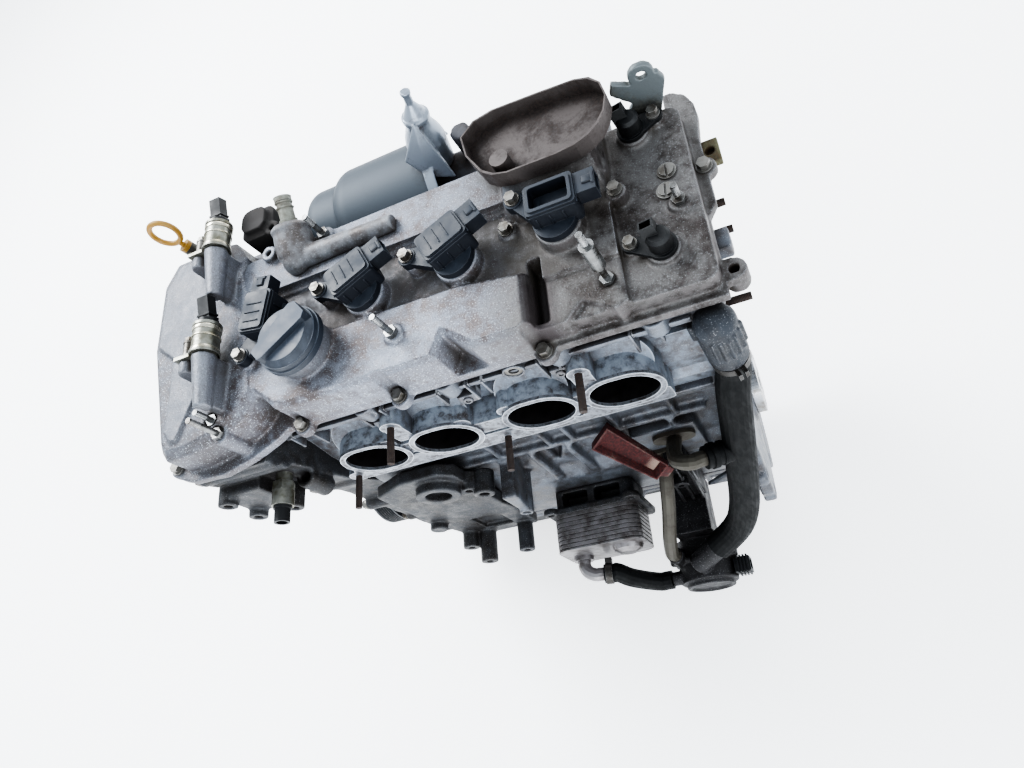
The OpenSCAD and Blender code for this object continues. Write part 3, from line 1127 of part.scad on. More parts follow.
// ---------- inlet side's brackets and castings ----------
house_y = -case_half_w - 14;
module coolant_inlet_housing() {
  color("silver") difference() {
    union() {
      yplate(house_y, -case_half_w) polygon([[x_front + 4, crank_z + 58], [x_front + 20, crank_z - 44],
        [-92, crank_z - 44], [-88, crank_z + 40], [-94, crank_z + 67], [x_front + 4, crank_z + 67]]);
      yplate(house_y, -bank_half_w - 14) polygon([[x_front + 4, crank_z + 66.5], [-94, crank_z + 66.5], [-96, z_deck - 30],
        [-112, z_deck - 14], [-160, z_deck - 14], [x_front + 6, z_deck - 40]]);
      ycyl(27, house_y - 12, -bank_half_w - 14, -130, z_deck - 52);
      ycyl(10, house_y - 8, -bank_half_w - 14, -97, z_deck - 68);
      ycyl(13, house_y - 14, -bank_half_w - 14, -80, z_deck - 74);
      // accessory mounting bosses
      ycyl(12, -128, -case_half_w, x_front + 26, crank_z - 26);
      ycyl(12, -150, -case_half_w, -166, crank_z - 34);
      ycyl(11, -146, -case_half_w, -106, crank_z - 30);
      ycyl(12, -116, -case_half_w, x_front + 14, crank_z + 44);
    }
    ycyl(16, house_y - 13, -bank_half_w - 30, -130, z_deck - 52);
    ycyl(4.5, house_y - 9, -bank_half_w - 20, -97, z_deck - 68);
    ycyl(6, house_y - 15, -bank_half_w - 24, -80, z_deck - 74);
    box3(-160, -118, house_y - 1, house_y + 7, crank_z - 20, crank_z + 30);
    for (p = [[x_front + 26, -26], [-166, -34], [-106, -30]]) ycyl(4.5, -151, -110, p[0], crank_z + p[1]);
  }
}
module rust_bracket() {
  color("sienna") difference() {
    rust_channel();
    box3(40, 140, pipe_pad_y + 2, -40, 280, 440);
  }
}
module rust_channel() {
  aim([84, pipe_pad_y + 3, 366], unit([62, -44, -66])) difference() {
    linear_extrude(88) difference() {
      polygon([[-16, -8], [16, -8], [18, 8], [16.2, 8], [14.4, -6.2], [-14.4, -6.2], [-16.2, 8], [-18, 8]]);
      circle(0.1);
    }
    translate([-30, -20, 60]) rotate([0, 12, 0]) translate([0, 0, 0]) cube([10, 40, 60]);
    translate([16, -20, 62]) rotate([0, -14, 0]) cube([14, 40, 60]);
  }
}
module oil_pressure_switch() {
  color("gray") translate([x_front - 28, -104, z_deck + 88]) rotate([90, 0, 0]) {
    cylinder(r = 9, h = 10);
    translate([0, 0, 10]) cylinder(r = 12.5, h = 10, $fn = 6);
    translate([0, 0, 20]) cylinder(r = 12, h = 17);
  }
}
module pressure_switch_plug() {
  color("black") translate([x_front - 28, -141, z_deck + 88]) rotate([90, 0, 0]) difference() {
    union() {
      cylinder(r = 8.5, h = 18);
      cylinder(r = 10, h = 3);
    }
    translate([0, 0, 8]) cylinder(r = 6, h = 12);
  }
}

// ---------- assembly ----------
engine_block();
core_plugs();
upper_oil_pan();
oil_pan();
drain_plug();
sump_bolts();
crankshaft();
crank_pulley();
pulley_bolt();
cylinder_head();
camshaft_housing();
housing_plugs();
cam_cover();
cover_gasket();
cover_bolts();
cover_studs();
oil_filler_cap();
ignition_coil_1();
ignition_coil_2();
ignition_coil_3();
ignition_coil_4();
coil_bolts();
intake_cam_sensor();
exhaust_cam_sensor();
small_bolts();
intake_oil_control_valve();
exhaust_oil_control_valve();
oil_valve_connectors();
timing_cover();
timing_cover_bolts();
dipstick_tube();
dipstick();
breather_duct();
breather_nipple();
side_housing();
exhaust_manifold();
manifold_nuts();
exhaust_shield_left();
shield_clamp();
exhaust_shield_right();
lifting_hook();
rear_bracket();
rear_studs();
intake_studs();
slotted_screws();
water_outlet();
coolant_hose();
water_pump();
pump_connector();
coolant_pipe_upper();
coolant_pipe_lower();
cooler_adapter();
oil_cooler();
cooler_hose();
hose_clamps();
coolant_inlet_housing();
rust_bracket();
oil_pressure_switch();
pressure_switch_plug();
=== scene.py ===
"""Four-cylinder car engine: finishes, fine detail pieces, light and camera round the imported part."""
import json
import math

import bmesh
import bpy
from mathutils import Matrix, Vector


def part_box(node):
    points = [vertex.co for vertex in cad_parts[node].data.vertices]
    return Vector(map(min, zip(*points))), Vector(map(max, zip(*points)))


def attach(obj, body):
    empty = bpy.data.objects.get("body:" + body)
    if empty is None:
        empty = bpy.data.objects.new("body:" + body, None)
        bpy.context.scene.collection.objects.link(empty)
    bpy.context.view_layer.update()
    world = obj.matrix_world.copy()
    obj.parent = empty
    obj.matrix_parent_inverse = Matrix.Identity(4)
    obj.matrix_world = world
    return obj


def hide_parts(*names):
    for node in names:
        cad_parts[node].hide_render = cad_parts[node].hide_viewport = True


bl_info = {
    "name": "Car engine dresser",
    "version": (1, 0, 0),
    "blender": (4, 5, 0),
    "location": "View3D > Sidebar > Engine",
    "description": "Finishes and fine pieces of a four-cylinder car engine",
    "category": "Object",
}

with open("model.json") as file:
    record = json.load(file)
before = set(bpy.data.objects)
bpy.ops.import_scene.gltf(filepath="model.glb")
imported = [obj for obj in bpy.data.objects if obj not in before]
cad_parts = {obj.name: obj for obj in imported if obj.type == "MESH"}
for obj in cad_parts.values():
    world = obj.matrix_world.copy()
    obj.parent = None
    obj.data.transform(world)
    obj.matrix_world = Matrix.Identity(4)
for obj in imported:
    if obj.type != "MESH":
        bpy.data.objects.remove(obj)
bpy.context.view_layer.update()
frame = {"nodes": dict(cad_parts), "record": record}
MM = 0.001
RAYS = 4  # samples of the corner and soft edge nodes
PORTS_X = (-141, -54, 54, 141)  # intake ports along the crankshaft, mm
PORTS_Z = 470  # their height above the floor, mm


# ---------------------------------------------------------------- shader arithmetic
class Val:
    """A number that runs through a node tree; sums and products add their Math nodes."""

    def __init__(self, paint, socket):
        self.paint, self.socket = paint, socket

    def _math(self, operation, a, b):
        node = self.paint.node("ShaderNodeMath", {"operation": operation}, {0: a, 1: b})
        return self.paint.val(node)

    def __add__(self, other):
        return self._math("ADD", self, other)

    def __radd__(self, other):
        return self._math("ADD", other, self)

    def __sub__(self, other):
        return self._math("SUBTRACT", self, other)

    def __rsub__(self, other):
        return self._math("SUBTRACT", other, self)

    def __mul__(self, other):
        return self._math("MULTIPLY", self, other)

    def __rmul__(self, other):
        return self._math("MULTIPLY", other, self)

    def most(self, other):
        return self._math("MAXIMUM", self, other)

    def least(self, other):
        return self._math("MINIMUM", self, other)

    def band(self, low, high, out_low=0.0, out_high=1.0):
        """Smooth step from out_low to out_high as the value goes from low to high."""
        inputs = {"Value": self, "From Min": low, "From Max": high, "To Min": out_low, "To Max": out_high}
        return self.paint.val(self.paint.node("ShaderNodeMapRange", {"interpolation_type": "SMOOTHSTEP"}, inputs))


def linear(rgb):
    """0-255 screen colour to the linear colour that nodes take."""
    out = []
    for c in rgb:
        c = c / 255
        out.append(c / 12.92 if c <= 0.04045 else ((c + 0.055) / 1.055) ** 2.4)
    return (*out, 1.0)


class Paint:
    """A material under construction, with the patterns that the finishes share."""

    def __init__(self, name):
        self.mat = bpy.data.materials.new(name)
        self.mat.use_nodes = True
        self.tree = self.mat.node_tree
        self.tree.nodes.clear()
        self.where = self.node("ShaderNodeTexCoord").outputs["Object"]

    def node(self, kind, settings=None, inputs=None):
        """A node of one kind; its settings go in first, then the values or links of its sockets."""
        node = self.tree.nodes.new(kind)
        for key, value in (settings or {}).items():
            setattr(node, key, value)
        for key, value in (inputs or {}).items():
            socket = node.inputs[key]
            if isinstance(value, Val):
                value = value.socket
            if isinstance(value, bpy.types.NodeSocket):
                self.tree.links.new(value, socket)
            else:
                socket.default_value = value
        return node

    def val(self, node, output=0):
        return Val(self, node.outputs[output])

    def mix(self, factor, a, b):
        """Colour a where the factor is 0, b where it is 1."""
        settings = {"data_type": "RGBA", "blend_type": "MIX", "clamp_factor": True}
        return self.node("ShaderNodeMix", settings, {0: factor, 6: a, 7: b}).outputs[2]

    def noise(self, size_mm, detail=3.0, rough=0.55, warp=0.0, stretch=None):
        """Cloudy pattern from 0 to 1, with lumps of about size_mm."""
        vector = self.where
        if stretch:
            vector = self.node("ShaderNodeMapping", None, {"Vector": vector, "Scale": stretch}).outputs[0]
        inputs = {"Vector": vector, "Scale": 1000 / size_mm, "Detail": detail, "Roughness": rough, "Distortion": warp}
        return self.val(self.node("ShaderNodeTexNoise", None, inputs), "Fac")

    def along(self, axis):
        """The place along an axis, in metres."""
        node = self.node("ShaderNodeSeparateXYZ", None, {0: self.where})
        return self.val(node, "XYZ".index(axis))

    def up(self):
        """How far a face looks upwards."""
        normal = self.node("ShaderNodeNewGeometry").outputs["Normal"]
        return self.val(self.node("ShaderNodeSeparateXYZ", None, {0: normal}), 2)

    def hollow(self, reach_mm, inside=False):
        """1 in corners and narrow places, 0 out in the open; with inside, 1 along outer edges."""
        node = self.node("ShaderNodeAmbientOcclusion", {"samples": RAYS, "inside": inside, "only_local": inside},
                         {"Distance": reach_mm * MM})
        return 1 - self.val(node, "AO")

    def surface(self, colour, roughness, metallic=0.0, height=None, height_mm=0.3, soft_mm=0.0, **fixed):
        """Principled shader with bump and softened edges; fixed holds sockets that don't vary."""
        skin = {"Base Color": colour, "Roughness": roughness, "Metallic": metallic}
        shader = self.node("ShaderNodeBsdfPrincipled", None, skin)
        for key, value in fixed.items():
            shader.inputs[key.replace("_", " ")].default_value = value
        normal = None
        if soft_mm:
            normal = self.node("ShaderNodeBevel", {"samples": RAYS}, {"Radius": soft_mm * MM}).outputs[0]
        if height is not None:
            inputs = {"Height": height, "Distance": height_mm * MM, "Strength": 1.0}
            if normal:
                inputs["Normal"] = normal
            normal = self.node("ShaderNodeBump", None, inputs).outputs[0]
        if normal:
            self.tree.links.new(normal, shader.inputs["Normal"])
        output = self.node("ShaderNodeOutputMaterial")
        self.tree.links.new(shader.outputs[0], output.inputs["Surface"])
        return self.mat


# ---------------------------------------------------------------- finishes
SAND_BRIGHT, CUT_EDGE_GLINT = (222, 222, 226), (225, 225, 226)  # bare metal in grain, and bare metal along cut edges that is also a painted edge highlight


def cast_metal(name, light, dark, grime=(46, 40, 38), dirt=0.75, specks=0.5, shine=(0.38, 0.66), metal=0.55, wear=0.5,
               grain_mm=1.6, soft_mm=0.9):
    """Sand-cast aluminium: mottled, speckled grain, oily soiling and painted shade in the corners, scuffed bright
    edges that are partly a painted highlight.
    """
    p = Paint(name)
    clouds = p.noise(70, 4, 0.6, 0.4)
    patches = p.noise(14, 5, 0.65)
    grain = p.noise(grain_mm, 2, 0.7)
    colour = p.mix((clouds * 0.45 + patches * 0.55).band(0.36, 0.64), linear(dark), linear(light))
    colour = p.mix(grain.band(0.58, 0.72) * specks * 0.55, colour, linear(SAND_BRIGHT))
    colour = p.mix((1 - grain).band(0.6, 0.75) * specks * 0.6, colour, linear(grime))
    # painted shade: corners found by ambient occlusion are darkened, mixed with patchy oily soiling
    corner = p.hollow(16)
    stain = (corner * 1.5 + (patches - 0.5) * 0.9 + (clouds - 0.5) * 0.6).band(0.3, 0.95) * dirt
    colour = p.mix(stain, colour, p.mix(patches, linear(grime), linear([c * 1.5 for c in grime])))
    # painted highlight: outer edges lightened towards near white, partly real scuffing
    rubbed_glint = p.hollow(1.6, inside=True).band(0.25, 0.7) * (patches * 1.3).band(0.35, 0.75) * wear
    colour = p.mix(rubbed_glint, colour, linear((206, 206, 208)))
    rough = patches.band(0.3, 0.7, shine[0], shine[1]) + stain * 0.12 - rubbed_glint * 0.12
    height = grain * 0.55 + patches * 0.8 + p.noise(5, 3, 0.6) * 0.45
    return p.surface(colour, rough, (metal - stain * metal * 0.8) + rubbed_glint * 0.3, height, 0.35, soft_mm)


def machined(name, colour, stain, grime=(48, 42, 40), rough=(0.22, 0.42), metal=0.9, lines=2.2, dirt=0.5):
    """Cut metal: fine tool lines, thin stains, oily soiling and painted shade in the corners, bright edges that are
    partly a painted highlight.
    """
    p = Paint(name)
    clouds = p.noise(18, 4, 0.6)
    streaks = p.noise(lines, 3, 0.6, 0, (0.06, 1.0, 1.0))
    corner = p.hollow(8)
    base = p.mix(clouds.band(0.4, 0.7), linear(colour), linear(stain))
    # painted shade: corners found by ambient occlusion darkened, mixed with oily soiling
    mud_and_shade = (corner * 1.4 + (clouds - 0.5)).band(0.35, 1.0) * dirt
    base = p.mix(mud_and_shade, base, linear(grime))
    # painted highlight: outer edges lightened, partly bare metal showing through
    rubbed_glint = p.hollow(0.8, inside=True).band(0.3, 0.8) * 0.5
    base = p.mix(rubbed_glint, base, linear(CUT_EDGE_GLINT))
    shine = streaks.band(0.3, 0.7, *rough) + mud_and_shade * 0.25
    return p.surface(base, shine, metal - mud_and_shade * metal * 0.8, streaks * 0.5 + clouds * 0.2, 0.06, 0.35)


def moulded(name, colour, dust, rough=(0.3, 0.5), dusty=0.4, grain_mm=0.7, soft_mm=0.7, worn=(120, 126, 132)):
    """Moulded plastic: fine grain, pale dust lying on top, scuffed edges lightened partly as a painted highlight,
    painted shade in the corners.
    """
    p = Paint(name)
    clouds = p.noise(22, 4, 0.6)
    grain = p.noise(grain_mm, 2, 0.6)
    scratch = p.noise(3, 4, 0.7, 0.6, (1.0, 0.15, 1.0))
    film = (clouds * 0.8 + p.up() * 0.35).band(0.45, 0.95) * dusty
    base = p.mix(film, p.mix(clouds, linear(colour), linear([c * 0.78 for c in colour])), linear(dust))
    base = p.mix(scratch.band(0.62, 0.72) * 0.4, base, linear(dust))
    # painted highlight: edges lightened, partly real scuffing
    rubbed_glint = p.hollow(1.0, inside=True).band(0.35, 0.85) * 0.55
    base = p.mix(rubbed_glint, base, linear(worn))
    # painted shade: corners darkened to a dim copy of the plastic's own colour
    corner = p.hollow(7).band(0.4, 1.0) * 0.6
    base = p.mix(corner, base, linear([c * 0.4 for c in colour]))
    height = grain * 0.35 + scratch * 0.25 + clouds * 0.4
    return p.surface(base, clouds.band(0.3, 0.7, *rough) + film * 0.2, 0.0, height, 0.08, soft_mm)


def rubber(name, colour, dust, dusty=0.45, rough=(0.42, 0.66)):
    """Old hose rubber: greyed on top, faint length-wise rub marks."""
    p = Paint(name)
    clouds = p.noise(30, 4, 0.62, 0.5)
    rub = p.noise(5, 3, 0.6, 0.4, (1.0, 1.0, 0.22))
    film = (clouds + (p.up() * 0.25)).band(0.5, 0.9) * dusty
    base = p.mix(film, p.mix(rub, linear(colour), linear([c * 0.65 for c in colour])), linear(dust))
    base = p.mix(rub.band(0.6, 0.72) * 0.35, base, linear(dust))
    return p.surface(base, rub.band(0.3, 0.7, *rough), 0.0, rub * 0.6 + clouds, 0.25, 0.6, Specular_IOR_Level=0.25)


def rusted(name, metal_colour, rust, deep, amount=0.6, soft_mm=0.5, rough=(0.5, 0.82), bare=0.5):
    """Sheet or bar steel with rust in blotches, browner in the corners, edges scuffed to tan metal and lightened
    partly as a painted highlight.
    """
    p = Paint(name)
    clouds = p.noise(26, 5, 0.65, 0.5)
    pits = p.noise(2.4, 4, 0.7)
    corner = p.hollow(14)
    spread = (clouds * 0.75 + pits * 0.35 + corner * 0.5).band(0.75 - amount * 0.5, 1.05 - amount * 0.5)
    base = p.mix(spread, linear(metal_colour), p.mix(pits.band(0.35, 0.65), linear(deep), linear(rust)))
    # painted highlight: edges lightened to a brighter copy of the metal, partly scuffed bare
    rubbed_glint = p.hollow(1.4, inside=True).band(0.3, 0.8) * 0.6
    base = p.mix(rubbed_glint, base, linear([min(255, c * 1.35) for c in metal_colour]))
    metal = (1 - spread) * bare + rubbed_glint * 0.2
    return p.surface(base, spread.band(0, 1, *rough), metal, pits * 0.7 + clouds * 0.5, 0.22, soft_mm)


def coated(name, colour, under, rough=(0.35, 0.6), chip=0.35, dust=(96, 96, 98), dusty=0.4):
    """Painted pressed steel: thin dust, chips to bare metal on the edges."""
    p = Paint(name)
    clouds = p.noise(40, 4, 0.6, 0.3)
    fine = p.noise(3, 4, 0.7)
    base = p.mix((clouds * 0.7 + p.up() * 0.3).band(0.4, 0.95) * dusty, linear(colour), linear(dust))
    bare = (p.hollow(1.8, inside=True) * 0.9 + (fine - 0.5) * 1.6).band(0.55, 0.75) * chip
    base = p.mix(bare, base, linear(under))
    shine = clouds.band(0.3, 0.7, *rough) + bare * 0.1
    return p.surface(base, shine, bare * 0.7 + 0.05, clouds * 0.8 + fine * 0.2, 0.2, 0.8)


def cover_metal(name):
    """Cam cover casting: pale speckled skin, duller at both ends and darkened by painted shade towards the gearbox
    end, oily soiling mixed with painted shade in the valley and round the coils.
    """
    p = Paint(name)
    clouds = p.noise(60, 4, 0.6, 0.4)
    patches = p.noise(12, 5, 0.68)
    grain = p.noise(1.5, 2, 0.7)
    fine = p.noise(0.8, 1, 0.5)
    tone = (clouds * 0.5 + patches * 0.5).band(0.38, 0.6)
    colour = p.mix(tone, linear((88, 81, 80)), linear((138, 144, 155)))
    # darker and browner towards the gearbox end: partly a duller skin, partly painted shade
    dull_and_shaded = p.mix(tone, linear((50, 45, 42)), linear((108, 107, 106)))
    place = p.along("X") + (clouds - 0.5) * 0.2 + (patches - 0.5) * 0.05
    colour = p.mix(place.band(0.03, 0.13), colour, dull_and_shaded)
    # smooth crown of the dome, lighter and bluer: partly a smoother skin, partly a painted highlight on the top;
    # places along the axes are in metres
    crown = p.along("Z").band(0.6125, 0.6155) * (1 - p.along("X").band(0.1, 0.14))
    colour = p.mix(crown * 0.75, colour, p.mix(patches, linear((114, 113, 117)), linear((148, 157, 168))))
    # the chain end is greyer
    chain_end = (0 - p.along("X")).band(0.2, 0.26) * 0.6
    colour = p.mix(chain_end, colour, p.mix(patches, linear((70, 68, 69)), linear((98, 102, 108))))
    # sides below the shoulder darker in patches: oily soiling with painted shade on the faces that turn from the sky
    side = 1 - p.up().band(0.25, 0.8)
    colour = p.mix(side * patches.band(0.4, 0.7) * 0.6, colour, linear((88, 80, 80)))
    away = 1 - place.band(0.05, 0.14) * 0.75
    specks = grain.band(0.58, 0.7) * (1 - crown * 0.6) * away
    colour = p.mix(specks * 0.6, colour, linear((222, 228, 236)))
    colour = p.mix(fine.band(0.45, 0.75) * 0.35, colour, linear((86, 76, 76)))
    colour = p.mix((1 - grain).band(0.56, 0.7) * 0.6, colour, linear((84, 74, 76)))
    # painted shade: the valley floor darkened as if lying in shade, mixed with the oily stain colours
    valley = (1 - p.along("Z").band(0.5995, 0.606)) * p.along("Z").band(0.59, 0.597)
    valley = valley * p.up().band(0.5, 0.9) * (1 - place.band(0.1, 0.2))
    # painted shade: the stain below darkens corners and the ground round the coils where ambient occlusion finds
    # them, mixed with patchy oil
    corner = p.hollow(26)
    stain = (corner * 1.35 + (patches - 0.5) * 0.9 + (clouds - 0.5) * 0.6).band(0.3, 0.95) * 0.85
    stain = stain.most(valley * patches.band(0.25, 0.6) * 0.8)
    colour = p.mix(stain, colour, p.mix(patches, linear((38, 34, 30)), linear((74, 66, 56))))
    # painted shade: the deep recess at the step between the long cover and the gearbox end darkened
    step = p.along("X").band(0.094, 0.104) * (1 - p.along("X").band(0.114, 0.13))
    step = step * (1 - p.along("Y").band(-0.05, -0.02))
    step = step * (1 - p.along("Z").band(0.6138, 0.6158)) * p.along("Z").band(0.569, 0.575)
    colour = p.mix(step * 0.8, colour, linear((62, 55, 56)))
    # painted highlight: outer edges lightened to near white, partly real scuffing, weaker at the step
    rubbed_glint = p.hollow(2.2, inside=True).band(0.2, 0.65) * (patches * 1.3).band(0.3, 0.7) * (0.8 - step * 0.7)
    colour = p.mix(rubbed_glint, colour, linear((214, 218, 226)))
    rough = patches.band(0.3, 0.7, 0.4, 0.62) + stain * 0.1 - rubbed_glint * 0.12 - crown * 0.06
    height = grain * 0.6 + fine * 0.2 + patches * 0.9 + p.noise(5, 3, 0.6) * 0.4
    return p.surface(colour, rough, (0.4 - stain * 0.35) + rubbed_glint * 0.3, height, 0.4, 1.2)


THROAT = (0.00088, 0.00096)  # square of the throat's radius, inside and outside the edge of the dark band
THROAT_FLAT = 0.006  # half of the straight part between a throat's round ends


def flange_metal(name):
    """Cylinder head casting with its milled intake flange: bright flat face, rougher dark casting behind it."""
    p = Paint(name)
    clouds = p.noise(50, 4, 0.6, 0.4)
    patches = p.noise(10, 5, 0.65)
    grain = p.noise(1.6, 2, 0.7)
    cast = p.mix((clouds * 0.45 + patches * 0.55).band(0.36, 0.62), linear((86, 82, 82)), linear((130, 138, 149)))
    cast = p.mix(grain.band(0.6, 0.72) * 0.35, cast, linear((214, 216, 220)))
    # painted shade: corners found by ambient occlusion darkened, mixed with patchy oily soiling
    corner = p.hollow(18)
    stain = (corner * 1.4 + (patches - 0.5) * 0.7 + (clouds - 0.5) * 0.5).band(0.45, 1.05) * 0.8
    cast = p.mix(stain, cast, p.mix(patches, linear((36, 32, 32)), linear((66, 58, 55))))
    # the milled face is the foremost plane of the head
    face = (0 - p.along("Y")).band(0.0988, 0.0996)
    # darker throats of the four ports
    x = p.along("X")
    out = x.most(0 - x)
    far, near = (PORTS_X[3] * MM, PORTS_X[2] * MM)
    off = (out - far).most(far - out).least((out - near).most(near - out))
    drop = p.along("Z") - PORTS_Z * MM
    off = (off - THROAT_FLAT).most(0.0)
    throat = (1 - (off * off + drop * drop).band(*THROAT)) * (1 - face)
    # painted highlight: upward faces of the port tubes lightened in patches, a painted sky reflection
    tops = p.up().band(0.5, 0.85) * (0 - p.along("Y")).band(0.072, 0.08) * patches.band(0.3, 0.6) * 0.45
    cast = p.mix(tops, cast, linear((186, 196, 208)))
    milled = p.mix(patches.band(0.4, 0.65) * 0.85, linear((134, 138, 145)), linear((84, 82, 84)))
    milled = p.mix((p.noise(4, 4, 0.7).band(0.52, 0.62)) * 0.7, milled, linear((56, 48, 46)))
    colour = p.mix(face, p.mix(throat, cast, p.mix(patches, linear((14, 12, 13)), linear((34, 30, 32)))), milled)
    # painted highlight: outer edges and the rims of the milled face lightened to near white, partly real scuffing
    rubbed_glint = p.hollow(1.8, inside=True).band(0.15, 0.5) * (0.45 + face * 0.5)
    colour = p.mix(rubbed_glint, colour, linear((226, 230, 236)))
    metal = (0.5 - stain * 0.45) * (1 - face) + face * 0.6
    rough = patches.band(0.3, 0.7, 0.42, 0.66) - face * 0.12
    return p.surface(colour, rough, metal, grain * 0.5 * (1 - face) + patches * 0.5, 0.35, 0.7)


# finish: how it is laid on, and its colours (0-255) and settings
FINISHES = {
    "block_cast": (cast_metal, {"light": (104, 109, 117), "dark": (70, 67, 67), "grime": (32, 28, 27), "dirt": 0.85,
        "specks": 0.5, "shine": (0.3, 0.52), "metal": 0.55, "wear": 1.0, "grain_mm": 1.3}),
    "housing_cast": (cast_metal, {"light": (116, 122, 131), "dark": (82, 78, 78), "grime": (34, 30, 29),
        "dirt": 0.85, "specks": 0.55, "shine": (0.3, 0.54), "metal": 0.55, "wear": 1.0, "grain_mm": 1.3}),
    "head_cast": (flange_metal, {}),
    "cover_cast": (cover_metal, {}),
    "timing_cast": (cast_metal, {"light": (58, 60, 64), "dark": (42, 39, 37), "grime": (24, 20, 19), "dirt": 0.95,
        "specks": 0.35, "metal": 0.3, "wear": 0.75, "grain_mm": 1.2}),
    "pressed_steel_black": (coated, {"colour": (26, 27, 30), "under": (120, 118, 115)}),
    "zinc_steel": (machined, {"colour": (128, 126, 122), "stain": (80, 74, 66), "rough": (0.3, 0.5),
        "metal": 0.85}),
    "bright_stud": (machined, {"colour": (140, 141, 141), "stain": (88, 84, 79), "rough": (0.24, 0.42)}),
    "dark_stud": (rusted, {"metal_colour": (62, 55, 52), "rust": (58, 42, 34), "deep": (32, 26, 24),
        "amount": 0.75}),
    "machined_steel": (machined, {"colour": (176, 178, 182), "stain": (130, 124, 116)}),
    "pulley_steel": (coated, {"colour": (42, 44, 48), "under": (140, 138, 134), "chip": 0.7}),
    "gasket_rubber": (moulded, {"colour": (26, 24, 25), "dust": (54, 50, 49), "rough": (0.55, 0.75)}),
    "slate_plastic": (moulded, {"colour": (27, 31, 39), "dust": (72, 82, 95), "rough": (0.36, 0.56), "dusty": 0.36,
        "worn": (96, 104, 116)}),
    "black_plastic": (moulded, {"colour": (9, 10, 12), "dust": (36, 40, 46), "rough": (0.4, 0.58), "dusty": 0.16,
        "worn": (54, 58, 64)}),
    "valve_steel": (machined, {"colour": (150, 150, 142), "stain": (104, 100, 84), "rough": (0.28, 0.46)}),
    "duct_metal": (cast_metal, {"light": (140, 143, 148), "dark": (90, 84, 81), "grime": (46, 39, 36), "dirt": 0.8,
        "specks": 0.5, "metal": 0.35, "soft_mm": 1.4}),
    "outlet_cast": (cast_metal, {"light": (52, 57, 64), "dark": (30, 30, 34), "grime": (18, 16, 16), "dirt": 0.9,
        "specks": 0.4, "metal": 0.35}),
    "tan_steel": (rusted, {"metal_colour": (72, 69, 62), "rust": (58, 49, 39), "deep": (38, 33, 29),
        "amount": 0.5}),
    "ochre_plastic": (moulded, {"colour": (166, 124, 48), "dust": (180, 156, 102), "rough": (0.32, 0.5),
        "dusty": 0.3, "worn": (198, 168, 96)}),
    "manifold_iron": (rusted, {"metal_colour": (84, 84, 88), "rust": (62, 53, 49), "deep": (38, 33, 31),
        "amount": 0.55, "soft_mm": 1.2}),
    "shield_steel": (rusted, {"metal_colour": (80, 87, 94), "rust": (70, 73, 77), "deep": (52, 52, 55),
        "amount": 0.35, "soft_mm": 1.4, "rough": (0.54, 0.68), "bare": 0.25}),
    "shield_brown": (rusted, {"metal_colour": (92, 86, 84), "rust": (60, 50, 46), "deep": (38, 32, 30),
        "amount": 0.6}),
    "hook_steel": (rusted, {"metal_colour": (104, 110, 112), "rust": (76, 76, 70), "deep": (50, 49, 46),
        "amount": 0.45, "soft_mm": 1.0}),
    "rust_steel": (rusted, {"metal_colour": (122, 104, 86), "rust": (84, 36, 30), "deep": (44, 20, 18),
        "amount": 0.95, "bare": 0.25}),
    "hose_rubber": (rubber, {"colour": (5, 6, 7), "dust": (17, 19, 22), "dusty": 0.25, "rough": (0.55, 0.72)}),
    "pump_cast": (cast_metal, {"light": (42, 41, 43), "dark": (24, 22, 23), "grime": (14, 12, 12), "dirt": 0.9,
        "specks": 0.3, "metal": 0.4}),
    "cooler_steel": (machined, {"colour": (134, 131, 132), "stain": (86, 80, 77), "rough": (0.3, 0.48),
        "metal": 0.75}),
    "silver_sheet": (rusted, {"metal_colour": (150, 158, 168), "rust": (92, 84, 82), "deep": (52, 42, 40),
        "amount": 0.4, "soft_mm": 1.0, "rough": (0.3, 0.5), "bare": 0.6}),
    "red_rust": (rusted, {"metal_colour": (150, 134, 122), "rust": (84, 36, 34), "deep": (46, 20, 22),
        "amount": 1.0, "bare": 0.2}),
    "cap_plastic": (moulded, {"colour": (46, 52, 62), "dust": (100, 109, 122), "rough": (0.34, 0.5), "dusty": 0.6,
        "worn": (124, 134, 148)}),
    "bracket_steel": (rusted, {"metal_colour": (100, 98, 74), "rust": (84, 66, 46), "deep": (52, 44, 34),
        "amount": 0.55, "soft_mm": 1.0, "bare": 0.3}),
    "plastic_box": (moulded, {"colour": (44, 41, 40), "dust": (84, 80, 78), "rough": (0.66, 0.85), "dusty": 0.5,
        "grain_mm": 2.0}),
    "clamp_steel": (machined, {"colour": (80, 78, 76), "stain": (52, 48, 44), "rough": (0.32, 0.5)}),
    "rolled_band": (machined, {"colour": (196, 192, 178), "stain": (140, 132, 108), "rough": (0.2, 0.34)}),
    "pale_nipple": (machined, {"colour": (150, 153, 144), "stain": (112, 108, 98), "rough": (0.4, 0.55),
        "metal": 0.2, "dirt": 0.5}),
}


# ---------------------------------------------------------------- workshop tools
def pick(*objects):
    """Select these objects alone; the last is the active one."""
    bpy.ops.object.select_all(action="DESELECT")
    for obj in objects:
        obj.select_set(True)
    bpy.context.view_layer.objects.active = objects[-1]


def settle(obj, place=None):
    """Write the object's place into its mesh; place is a matrix for a piece made at the origin."""
    pick(obj)
    if place is not None:
        obj.matrix_world = place
    bpy.ops.object.transform_apply(location=True, rotation=True, scale=True)
    return obj


